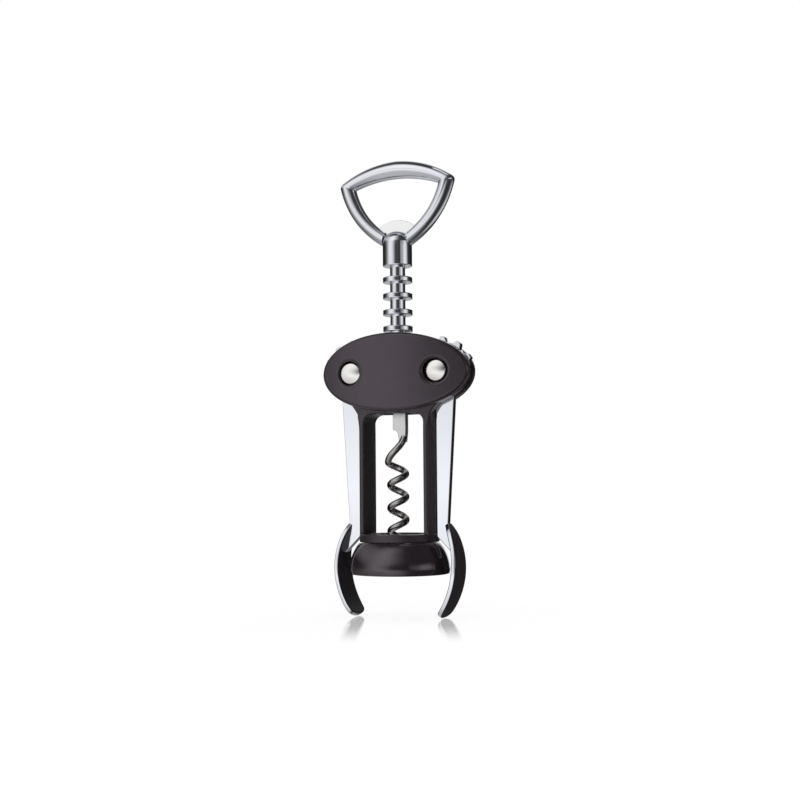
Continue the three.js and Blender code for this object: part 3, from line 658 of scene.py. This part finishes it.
def neck_room(grow=0.3):
    """The room that the neck takes in a cover."""
    right = [(flare_x(z) + grow, z) for z in np.linspace(neck_bottom - 1, neck_bottom + 14.6, 24)]
    right += [(neck_top_x + 0.6 + grow, neck_top + grow)]
    outline = right + [(-x, z) for x, z in reversed(right)]
    face = lambda x, z: front_depth(x) - neck_inset + grow
    return rolled_plate([outline], lambda x, z: -face(x, z), face, same(0.1, 0.1), same(0.1, 0.1), pitch=2, steps=2)


front_cover = piece_of("front_cover_shell", cover_shape())
cut(front_cover, cover_room(), neck_room(),
    turned([(0, 80), (tower_radius + 0.2, 80), (tower_radius + 0.2, 130), (0, 130)]))
rear_cover = front_cover.copy()
rear_cover.name = "rear_cover_shell"
rear_cover.data = front_cover.data.copy()
bpy.context.scene.collection.objects.link(rear_cover)
rear_cover.data.transform(Matrix.Scale(-1, 4, (0, 1, 0)))
rear_cover.data.flip_normals()
soft_skin = sprayed("soft_touch_skin", cover_dark, cover_light, 0.25, 1.0, 0.004)
settle(front_cover, "frame", ["front_cover"], "soft_cover", soft_skin)
settle(rear_cover, "frame", ["rear_cover"], "soft_cover", soft_skin)


# --------------------------------------------------------------- pivot pins
# Nickel-plated steel pins with a low domed head in front. A cap of the same shape, over a washer,
# closes each pin at the back. The heads are satin, turned on a lathe.
head_radius, head_thickness, head_dome, head_rim = 4.7, 1.5, 0.45, 0.6
head_recess = 1.1
shank_radius = 2.5
washer_top_gap, washer_thickness = 0.3, 0.5
nickel_colour = (0.97, 0.95, 0.925)
under_head = float(front_depth(pivot_x)) - head_recess - head_thickness


def domed_head():
    """A rim with a small round to it, then a shallow dome."""
    face = under_head + head_thickness - head_dome
    reach = head_radius - head_rim
    bow = (reach ** 2 + head_dome ** 2) / (2 * head_dome)
    half_angle = math.degrees(math.asin(reach / bow))
    dome = arc(0, face + head_dome - bow, bow, 90 - half_angle, 90, 20)
    rim = arc(reach, face - head_rim, head_rim, 0, 90 - half_angle, 6)
    return eased([(0, under_head), (head_radius, under_head), rim[0]], 0.2) + rim[1:-1] + dome


def turned_nickel():
    """Satin nickel with faint rings left by the lathe."""
    material, tree, shader, where = finish_of("satin_nickel", nickel_colour, Metallic=1.0)
    rings = node(tree, "ShaderNodeTexWave", {"Vector": where, "Scale": 900, "Distortion": 3.0, "Detail": 2.0},
                 wave_type="RINGS", rings_direction="Y")
    tree.links.new(spread(tree, noise(tree, where, 0.8), 0.13, 0.19), shader.inputs["Roughness"])
    bump(tree, shader, rings.outputs[0], 0.002, 0.5)
    return material


nickel = turned_nickel()
for side, hand in ((1, "right"), (-1, "left")):
    lay_front = along_y(side * pivot_x, pivot_height, -1)
    lay_back = along_y(side * pivot_x, pivot_height)
    shank = turned([(0, -under_head - 0.4), (shank_radius, -under_head - 0.4),
                    (shank_radius, under_head + 0.1), (0, under_head + 0.1)], steps=48)
    pin = piece_of(hand + "_pin", joined(moved(turned(domed_head()), lay_front), moved(shank, lay_front)))
    settle(pin, "frame", [hand + "_pivot_pin"], "nickel", nickel)
    cap = piece_of(hand + "_cap", moved(turned(domed_head()), lay_back))
    settle(cap, "frame", [hand + "_pin_cap"], "nickel", nickel)
    top = under_head - washer_top_gap
    section = eased([(pin_bore, top - washer_thickness), (head_radius, top - washer_thickness),
                     (head_radius, top), (pin_bore, top)], 0.12, closed=True)
    washer = piece_of(hand + "_washer", moved(turned(section, closed=True), lay_back))
    settle(washer, "frame", [hand + "_cap_washer"], "nickel", nickel)


# ------------------------------------------------------------------- levers
# Each lever is one zinc casting, chrome-plated: a gear sector, a flat arm and, across its end, a
# curved finger grip that narrows upwards and ends in a rounded tip. The grip's broad faces are
# sprayed black and its edges are left bright.
teeth, teeth_per_turn, first_tooth = 7, 12, 24.6
pitch_radius, tooth_tip, tooth_root = 13.8465, 1.45, 0.95
tip_width, flank_width, root_width = 2.0, 3.4, 4.6
lever_half = 1.8
arm_inner_x, arm_inner_low = 17.9, 35.0
arm_low_ends, arm_outer_low, arm_outer_top = [(25.0, 27.73), (26.7, 27.9), (25.7, 33.0)], (22.9, 40.5), (26.1, 93.4)
lever_edge = 0.3
disc_inset = 1.3
grip_radius, grip_bulge, grip_middle, grip_top = 36.5, 28.0, 22.7, 40.8
grip_thickness, grip_half, grip_widest, grip_top_half, grip_tip = 2.0, 8.0, 12.0, 1.8, 1.9
grip_shoulder_shares = [(1, 0), (0.99, 0.2), (0.92, 0.4), (0.79, 0.6), (0.62, 0.78), (0.38, 0.9), (0, 1)]
grip_tip_shares = [(0.4, 0.12), (0.7, 0.42), (0.88, 0.85), (0.95, 1.7), (0.98, 3)]
chrome_colour = (0.89, 0.91, 0.965)


def lever_outline():
    root_radius, tip_radius = pitch_radius - tooth_root, pitch_radius + tooth_tip
    disc_radius = root_radius - disc_inset
    polar = lambda angle, radius: (pivot_x + radius * math.cos(math.radians(angle)),
                                   pivot_height + radius * math.sin(math.radians(angle)))
    half_angle = lambda width, radius: math.degrees(width / 2 / radius)
    step = 360 / teeth_per_turn
    outline = []
    for i in range(teeth):
        middle = first_tooth + step * i
        root, flank, tip = (half_angle(root_width, root_radius), half_angle(flank_width, pitch_radius),
                            half_angle(tip_width, tip_radius))
        outline += [polar(middle - root, root_radius), polar(middle - flank, pitch_radius),
                    polar(middle - tip, tip_radius), polar(middle + tip, tip_radius),
                    polar(middle + flank, pitch_radius), polar(middle + root, root_radius)]
    end = first_tooth + step * (teeth - 1) + half_angle(root_width, root_radius)
    inner = math.degrees(math.acos((arm_inner_x - pivot_x) / disc_radius))
    outer = math.degrees(math.acos((arm_outer_top[0] - pivot_x) / disc_radius))
    outline += arc(pivot_x, pivot_height, disc_radius, end + 2, 360 - inner, 12)
    outline += [(arm_inner_x, arm_inner_low), *arm_low_ends, arm_outer_low, arm_outer_top]
    outline += arc(pivot_x, pivot_height, disc_radius, 360 - outer, 360 + first_tooth - 11, 12)
    return eased(outline, 0.6, closed=True, steps=4)


def smoothed(points, steps=6):
    """A smooth curve through points."""
    points = [np.array(p, float) for p in points]
    out = []
    for i in range(len(points) - 1):
        a, b = points[i], points[i + 1]
        before = points[i - 1] if i else a * 2 - b
        after = points[i + 2] if i + 2 < len(points) else b * 2 - a
        for k in range(steps):
            t = k / steps
            out.append(tuple(0.5 * (2 * a + (b - before) * t + (2 * before - 5 * a + 4 * b - after) * t ** 2
                                    + (3 * a - before - 3 * b + after) * t ** 3)))
    return out + [tuple(points[-1])]


def grip_outline():
    """The grip laid flat: height up the grip, place across it."""
    right = [(0, 0)] + [(grip_half * wide, grip_tip * high) for wide, high in grip_tip_shares]
    right += [(grip_top_half + (grip_half - grip_top_half) * wide,
               grip_widest + (grip_top - grip_widest) * high) for wide, high in grip_shoulder_shares]
    right = smoothed(right)
    left = [(-y, z) for y, z in reversed(right[1:])]
    return [(z, -y) for y, z in right + left]


def bent(z, y, t):
    """Bends the flat grip to its arc."""
    angle = math.asin(max(-1, min(1, (z - grip_middle) / grip_radius)))
    return (grip_bulge - grip_radius + (grip_radius - t) * math.cos(angle), y,
            grip_middle + (grip_radius - t) * math.sin(angle))


def bright_chrome():
    """Chrome plate over a polished casting: almost a mirror, with a faint waviness."""
    material, tree, shader, where = finish_of("bright_chrome", chrome_colour, Metallic=1.0)
    tree.links.new(spread(tree, noise(tree, where, 3), 0.03, 0.065), shader.inputs["Roughness"])
    bump(tree, shader, noise(tree, where, 9, 1), 0.009)
    return material


def on_grip_face(face, side):
    """1 for a face of the mesh that lies on a grip's broad inner or outer face, otherwise 0."""
    out = Vector((face.center.x * side / MM - grip_bulge + grip_radius, 0, face.center.z / MM - grip_middle))
    depth = grip_radius - out.length
    faces_along = abs(face.normal.x * side * out.x + face.normal.z * out.z) / out.length > 0.4
    near_face = abs(depth) < coat_over_outer or abs(depth - grip_thickness) < coat_over_inner
    return int(faces_along and near_face and face.center.z / MM < grip_top)


chrome = bright_chrome()
coat_over_outer, coat_over_inner = 0.1, 0.3
grip_coating = sprayed("grip_coating", coating_dark, coating_light, 0.45, 0.35, 0.004)
for side, hand in ((1, "right"), (-1, "left")):
    blade = rolled_plate([lever_outline(), pin_holes(pin_bore, 48)[1]], same(-lever_half), same(lever_half),
                         same(lever_edge, lever_edge), same(lever_edge, lever_edge), steps=4, land=0.06)
    grip = rolled_plate([grip_outline()], same(0), same(grip_thickness), same(0.45, 0.45), same(0.5, 0.5),
                        pitch=1.5, steps=4, place=bent)
    lever = piece_of(hand + "_lever_casting",
                     moved(joined(blade, grip), lambda x, y, z: (side * x, y, z)))
    settle(lever, hand + "_lever", [hand + "_lever"], "chrome", chrome, grip_coating)
    for face in lever.data.polygons:
        face.material_index = on_grip_face(face, side)


# ------------------------------------------------------ guide bush and stop ring
# Two turned nylon rings: the bush lines the tower's mouth, and the stop ring at the foot of the
# rings keeps the shaft from being drawn out of the tower.
stop_inner, stop_outer, stop_bottom, stop_height = 3.7, 6.3, 92.7, 2.0


def nylon_finish(name, colour):
    material, tree, shader, where = finish_of(name, colour)
    tree.links.new(spread(tree, noise(tree, where, 2), 0.38, 0.5), shader.inputs["Roughness"])
    bump(tree, shader, noise(tree, where, 0.6, 2), 0.004)
    return material


nylon = nylon_finish("white_nylon", (0.80, 0.78, 0.73))
bush = piece_of("guide_bush", turned(eased([
    (bore_radius, tower_top - bush_length), (bush_radius, tower_top - bush_length), (bush_radius, tower_top),
    (bore_radius, tower_top)], 0.25, closed=True), closed=True))
settle(bush, "frame", ["shaft_bush"], "nylon", nylon)
stop = piece_of("stop_washer", turned(eased([
    (stop_inner, stop_bottom), (stop_outer, stop_bottom), (stop_outer, stop_bottom + stop_height),
    (stop_inner, stop_bottom + stop_height)], 0.3, closed=True), closed=True))
settle(stop, "carriage", ["stop_ring"], "nylon", nylon)


# --------------------------------------------------------------- ringed shaft
# A steel bar turned down between rings, which the gears climb, then chrome-plated. Its foot is bored
# for the worm's tongue, and its top goes up into the handle's hub.
ring_count, ring_pitch, lowest_ring = 8, 7.25, 96.83
ring_radius, core_radius, ring_half = 6.6, 3.4, 1.25
core_bottom, core_top = 91.98, 161.6


def ring_stack(tree):
    """Instances of one ring, a pitch apart, on a core."""
    group = node(tree, "NodeGroupInput")
    line = node(tree, "GeometryNodeMeshLine", {
        "Count": group.outputs["Rings"], "Start Location": node(tree, "ShaderNodeCombineXYZ", {
            "Z": group.outputs["Lowest ring"]}).outputs[0],
        "Offset": node(tree, "ShaderNodeCombineXYZ", {"Z": group.outputs["Pitch"]}).outputs[0]})
    ring = node(tree, "GeometryNodeObjectInfo", {"Object": group.outputs["Ring"]})
    core = node(tree, "GeometryNodeObjectInfo", {"Object": group.outputs["Core"]})
    stack = node(tree, "GeometryNodeInstanceOnPoints", {"Points": line.outputs[0], "Instance": ring.outputs["Geometry"]})
    both = node(tree, "GeometryNodeJoinGeometry", {0: stack.outputs[0]})
    tree.links.new(core.outputs["Geometry"], both.inputs[0])
    return both.outputs[0]


ring_object = piece_of("ring_pattern", turned(eased([
    (core_radius - 0.4, -ring_half), (ring_radius, -ring_half), (ring_radius, ring_half),
    (core_radius - 0.4, ring_half)], 0.45, closed=True, steps=5), closed=True, steps=128))
core_object = piece_of("core_pattern", turned(eased([
    (0, core_bottom), (core_radius, core_bottom), (core_radius, core_top), (0, core_top)], 0.4), steps=128))
ring_tree = bpy.data.node_groups.new("ring_stack", "GeometryNodeTree")
for label, kind in (("Rings", "NodeSocketInt"), ("Pitch", "NodeSocketFloat"), ("Lowest ring", "NodeSocketFloat"),
                    ("Ring", "NodeSocketObject"), ("Core", "NodeSocketObject")):
    ring_tree.interface.new_socket(label, in_out="INPUT", socket_type=kind)
ring_tree.interface.new_socket("Geometry", in_out="OUTPUT", socket_type="NodeSocketGeometry")
stacked = node(ring_tree, "GeometryNodeRealizeInstances", {0: ring_stack(ring_tree)}).outputs[0]
stacked = node(ring_tree, "GeometryNodeSetMaterial", {0: stacked, "Material": chrome}).outputs[0]
node(ring_tree, "NodeGroupOutput", {0: stacked})
shaft = bpy.data.objects.new("ringed_shaft", bpy.data.meshes.new("ringed_shaft"))
bpy.context.scene.collection.objects.link(shaft)
building = shaft.modifiers.new("rings", "NODES")
building.node_group = ring_tree
sizes = {"Rings": ring_count, "Pitch": ring_pitch * MM, "Lowest ring": lowest_ring * MM,
         "Ring": ring_object, "Core": core_object}
for item in ring_tree.interface.items_tree:
    if item.in_out == "INPUT":
        building[item.identifier] = sizes[item.name]
plain_mesh(shaft)
soften(shaft)
bpy.data.objects.remove(ring_object)
bpy.data.objects.remove(core_object)
settle(shaft, "screw", ["rack_shaft"], "chrome", chrome)


# ------------------------------------------------------------ handle and hub
# A chrome-plated zinc casting: a three-cornered ring, mitred inside and rounded outside, whose two
# legs run down into the shoulders of a domed hub. The hub is pinned to the shaft from the back.
hub_radius, hub_bottom, hub_shoulder, hub_dome = 6.6, 153.6, 164.2, 5.6
ring_top, ring_corner, ring_shoulder, ring_root = 201.0, (26.8, 190.0), (25.5, 192.9), (6.4, 162.8)
side_bulge, top_bulge = 3.5, 1.9
hole_top, hole_corner, hole_shoulder, hole_root = 193.0, (19.6, 189.4), (19.2, 189.6), (5.2, 169.2)
hole_side_bulge, hole_top_bulge = 2.3, 0.85
handle_depth = 7.7


def bulged(start, end, bulge, steps):
    """A bowed line from start to end."""
    start, end = np.array(start, float), np.array(end, float)
    along = end - start
    out = np.array([along[1], -along[0]]) / np.linalg.norm(along)
    return [tuple(start + along * t + out * 4 * bulge * t * (1 - t)) for t in np.linspace(0, 1, steps + 1)]


def corner_turn(leg, bar, steps=7):
    """The points of a curve that leaves the leg and meets the bar along their own lines."""
    start, end = np.array(leg[-1]), np.array(bar[0])
    reach = np.linalg.norm(end - start) * 0.45
    leaving, meeting = start - np.array(leg[-2]), end - np.array(bar[1])
    first = start + leaving / np.linalg.norm(leaving) * reach
    second = end + meeting / np.linalg.norm(meeting) * reach
    return [tuple(start * (1 - t) ** 3 + first * 3 * t * (1 - t) ** 2 + second * 3 * t * t * (1 - t) + end * t ** 3)
            for t in np.linspace(0, 1, steps + 2)[1:-1]]


def ring_edge(root, corner, shoulder, top, side, across):
    leg, bar = bulged(root, corner, side, 40), bulged(shoulder, (0, top), across, 30)
    right = leg + corner_turn(leg, bar) + bar
    return right + [(-x, z) for x, z in reversed(right[:-1])]


def handle_shape(sides=36):
    """Oval sections between the ring's outer edge and its opening."""
    outer = ring_edge(ring_root, ring_corner, ring_shoulder, ring_top, side_bulge, top_bulge)
    inner = ring_edge(hole_root, hole_corner, hole_shoulder, hole_top, hole_side_bulge, hole_top_bulge)
    points, faces = [], []
    for (ox, oz), (ix, iz) in zip(outer, inner):
        for k in range(sides):
            angle = 2 * math.pi * k / sides
            inset = (1 - math.cos(angle)) / 2
            points.append((ox + (ix - ox) * inset, handle_depth / 2 * math.sin(angle), oz + (iz - oz) * inset))
    for s in range(len(outer) - 1):
        for k in range(sides):
            a, b = s * sides + k, s * sides + (k + 1) % sides
            faces.append((a, b, b + sides, a + sides))
    last = (len(outer) - 1) * sides
    faces += [tuple(range(sides)), tuple(last + k for k in range(sides))]
    return points, faces


hub_profile = eased([(0, hub_bottom), (hub_radius, hub_bottom), (hub_radius, hub_shoulder - 3)], 0.5)
hub_profile += [(hub_radius * x, hub_shoulder + z * hub_dome) for x, z in arc(0, 0, 1, 0, 90, 24)]
handle = piece_of("handle_casting", joined(handle_shape(), turned(hub_profile, steps=128)), crease=24)
settle(handle, "screw", ["handle"], "chrome", chrome)


# ---------------------------------------------------------------- cap lifter
# A stamped and polished steel web set across the foot of the ring. It thins towards its upper edge,
# a flat arch that catches under a crown cap.
lifter_half_width, lifter_side, lifter_top = 9.5, 170.4, 174.5
lifter_foot_half, lifter_foot, lifter_half, lifter_lip_half = 4.4, 164.0, 0.8, 0.25
rise = lifter_top - lifter_side
lifter_bow = (lifter_half_width ** 2 + rise ** 2) / (2 * rise)
lifter_angle = math.degrees(math.asin(lifter_half_width / lifter_bow))
lifter_outline = [(-lifter_foot_half, lifter_foot), (lifter_foot_half, lifter_foot)] + arc(
    0, lifter_top - lifter_bow, lifter_bow, 90 - lifter_angle, 90 + lifter_angle, 40)


def lifter_face(x, z):
    return lifter_half + (lifter_lip_half - lifter_half) * (z - lifter_foot) / (lifter_top - lifter_foot)


lifter = piece_of("cap_lifter_web", rolled_plate(
    [lifter_outline], lambda x, z: -lifter_face(x, z), lifter_face, same(0.3, 0.22), same(0.3, 0.22), steps=4))
lifter_steel, tree, shader, where = finish_of("polished_lifter_steel", (0.99, 0.99, 1.0), Metallic=1.0)
tree.links.new(spread(tree, noise(tree, where, 1.5), 0.05, 0.11), shader.inputs["Roughness"])
bump(tree, shader, noise(tree, where, 4, 2), 0.004)
settle(lifter, "screw", ["cap_lifter"], "steel", lifter_steel)


# --------------------------------------------------------------------- worm
# Hardened steel wire wound to a right-hand worm and ground to a point, then polished. Above it the
# wire is forged to a flat tang, notched on one side, whose tongue is pinned in the shaft.
worm_radius, wire_radius, worm_pitch = 3.45, 1.5, 10.0
worm_offset = -0.5
worm_swell, swell_turns = 0.9, 0.45
worm_left_height, worm_left_angle, worm_tip_height = 67.3, 201.0, 31.0
tip_radius, taper_turns = 0.35, 0.6
tang_bottom, tang_width, tang_half, tang_top, tang_offset = 79.1, 6.1, 1.7, 91.4, 0.8
tongue_half_width, tongue_half, tongue_top = 2.0, 1.1, 102.2
lead_turn, lead_radius, lead_top = 170.0, 2.0, 80.6
notch_radius, neck_drop, neck_narrowing = 2.4, 3.0, 0.5
wire_colour, tang_colour = (0.50, 0.48, 0.47), (0.80, 0.79, 0.80)


def worm_path():
    """Centre and radius of the wire, from the tip to the tang."""
    path = []
    turns = (worm_left_height - worm_tip_height) / worm_pitch
    for s in range(201):
        back = turns * (1 - s / 200)
        angle = math.radians(worm_left_angle - 360 * back)
        reach = worm_radius + worm_swell * max(0, 1 - back / swell_turns) ** 1.5
        taper = min(1, (turns - back) / taper_turns)
        path.append((worm_offset + reach * math.cos(angle), reach * math.sin(angle),
                     worm_left_height - worm_pitch * back, tip_radius + (wire_radius - tip_radius) * math.sqrt(taper)))
    for s in range(1, 31):
        t = s / 30
        angle = math.radians(worm_left_angle + lead_turn * t)
        reach = worm_radius + worm_swell + (lead_radius - worm_radius - worm_swell) * t * t
        path.append((worm_offset * (1 - t) + reach * math.cos(angle), reach * math.sin(angle) * (1 - t * 0.6),
                     worm_left_height + (lead_top - worm_left_height) * t, wire_radius))
    return path


def swept(path, sides=28):
    """A round wire along a path of (x, y, z, radius)."""
    places = np.array([p[:3] for p in path])
    along = np.gradient(places, axis=0)
    along /= np.linalg.norm(along, axis=1)[:, None]
    points, faces = [], []
    out = np.array([1.0, 0.0, 0.0])
    for place, way, (_, _, _, radius) in zip(places, along, path):
        out = out - way * np.dot(out, way)
        out /= np.linalg.norm(out)
        side = np.cross(way, out)
        for k in range(sides):
            angle = 2 * math.pi * k / sides
            points.append(tuple(place + radius * (out * math.cos(angle) + side * math.sin(angle))))
    for s in range(len(path) - 1):
        for k in range(sides):
            a, b = s * sides + k, s * sides + (k + 1) % sides
            faces.append((a, b, b + sides, a + sides))
    last = (len(path) - 1) * sides
    faces += [tuple(range(sides)), tuple(last + k for k in range(sides))]
    return points, faces


def tang_outline():
    left, right = tang_offset - tang_width / 2, tang_offset + tang_width / 2
    notch = arc(left, tang_bottom, notch_radius, 0, 90, 10)
    return [(left + notch_radius, tang_bottom), (left + notch_radius + 0.5, tang_bottom - neck_drop),
            (right - neck_narrowing, tang_bottom - neck_drop), (right, tang_bottom + 1.5), (right, tang_top),
            (tongue_half_width, tang_top), (left, tang_top)] + list(reversed(notch))[:-1]


def steel_finish(name, colour, low, high, grain, relief=0.003):
    """Polished steel with fine lines along its length."""
    material, tree, shader, where = finish_of(name, colour, Metallic=1.0)
    stretch = node(tree, "ShaderNodeMapping", {"Vector": where, "Scale": (1, 1, grain)}).outputs[0]
    lines = noise(tree, stretch, 0.25, 4)
    tree.links.new(spread(tree, lines, low, high), shader.inputs["Roughness"])
    bump(tree, shader, lines, relief)
    return material


wire_steel = steel_finish("polished_wire_steel", wire_colour, 0.05, 0.12, 0.6, 0.012)
tang_steel = steel_finish("forged_tang_steel", tang_colour, 0.24, 0.4, 0.15)
worm_wire = piece_of("worm_wire", swept(worm_path()))
tang = piece_of("tang", joined(
    rolled_plate([tang_outline()], same(-tang_half), same(tang_half), same(0.25, 0.25), same(0.25, 0.25), steps=3),
    rolled_plate([[(-tongue_half_width, tang_top - 1), (tongue_half_width, tang_top - 1),
                   (tongue_half_width, tongue_top), (-tongue_half_width, tongue_top)]],
                 same(-tongue_half), same(tongue_half), same(0.2, 0.2), same(0.2, 0.2), steps=2)))
wire_faces = len(worm_wire.data.polygons)
worm = one_piece("worm_and_tang", worm_wire, tang)
for number, face in enumerate(worm.data.polygons):
    face.material_index = 0 if number < wire_faces else 1
soften(worm)
kept = [face.material_index for face in worm.data.polygons]
settle(worm, "screw", ["worm"], "steel", wire_steel, tang_steel)
for face, index in zip(worm.data.polygons, kept):
    face.material_index = index


# ---------------------------------------------------------------- cross pins
# Two hardened steel pins: one holds the worm's tongue in the shaft's foot, the other, driven in from
# the back, holds the handle's hub on the shaft's top.
cross_pin_radius = 0.9
pin_steel = steel_finish("pin_steel", (0.5, 0.49, 0.48), 0.2, 0.35, 1.0)
for name, node_name, height, start, end in (("tongue_pin", "worm_pin", 100.4, -3.1, 3.1),
                                            ("hub_pin", "handle_pin", 158.0, -3.1, 6.3)):
    pin = piece_of(name, moved(turned(eased([
        (0, start), (cross_pin_radius, start), (cross_pin_radius, end), (0, end)], 0.2), steps=40),
        along_y(0, height)))
    settle(pin, "screw", [node_name], "steel", pin_steel)


# ---------------------------------------------------------- bell and its seat
# The bell is a thin casting with the same coat as the frame, screwed to the collar's underside. A
# black nylon seat inside it meets the bottle's lip.
bell_radius, bell_bottom, bell_belt, bell_wall, bell_top = 22.0, 18.7, 20.8, 1.8, 32.3
bell_fullness, bell_roundness = 1.85, 1.2
seat_wall, seat_height = 1.3, 29.0


def bell_at(z):
    t = max(0, (z - bell_belt) / (bell_top - bell_belt))
    return collar_radius + (bell_radius - collar_radius) * (1 - min(t, 1) ** bell_fullness) ** (1 / bell_roundness)


def bell_curve(inset, low, high, steps=36):
    return [(bell_at(z) - inset, z) for z in np.linspace(low, high, steps)]


bell_ceiling = bell_top - bell_wall
bell_section = eased([(bell_radius - bell_wall, bell_bottom + 0.45), (bell_radius - 0.9, bell_bottom),
                      (bell_radius - 0.25, bell_bottom + 0.35), (bell_radius, bell_belt)], 0.4)[:-1]
bell_section += bell_curve(0, bell_belt, bell_top)
bell_section += [(cork_hole_radius, bell_top), (cork_hole_radius, bell_ceiling)]
bell_section += list(reversed(bell_curve(bell_wall, bell_belt, bell_ceiling)))
bell = piece_of("bell_casting", turned(bell_section, closed=True, steps=180), crease=40)
bell_coating = sprayed("bell_coating", coating_dark, coating_light, 0.13, 1.0, 0.003)
bell_coating.node_tree.nodes["Principled BSDF"].inputs["Coat Weight"].default_value = 0.6
settle(bell, "frame", ["bell"], "coated_black", bell_coating)

seat_top = bell_ceiling - 0.3
seat_section = bell_curve(bell_wall + 0.3, bell_belt, seat_top) + [
    (cork_hole_radius, seat_top), (cork_hole_radius, seat_height)]
seat_section += list(reversed(bell_curve(bell_wall + 0.3 + seat_wall, bell_belt, seat_height)))
seat = piece_of("bottle_lip_seat", turned(seat_section, closed=True, steps=128), crease=40)
settle(seat, "frame", ["bottle_seat"], "black_nylon", nylon_finish("black_nylon", (0.012, 0.011, 0.011)))
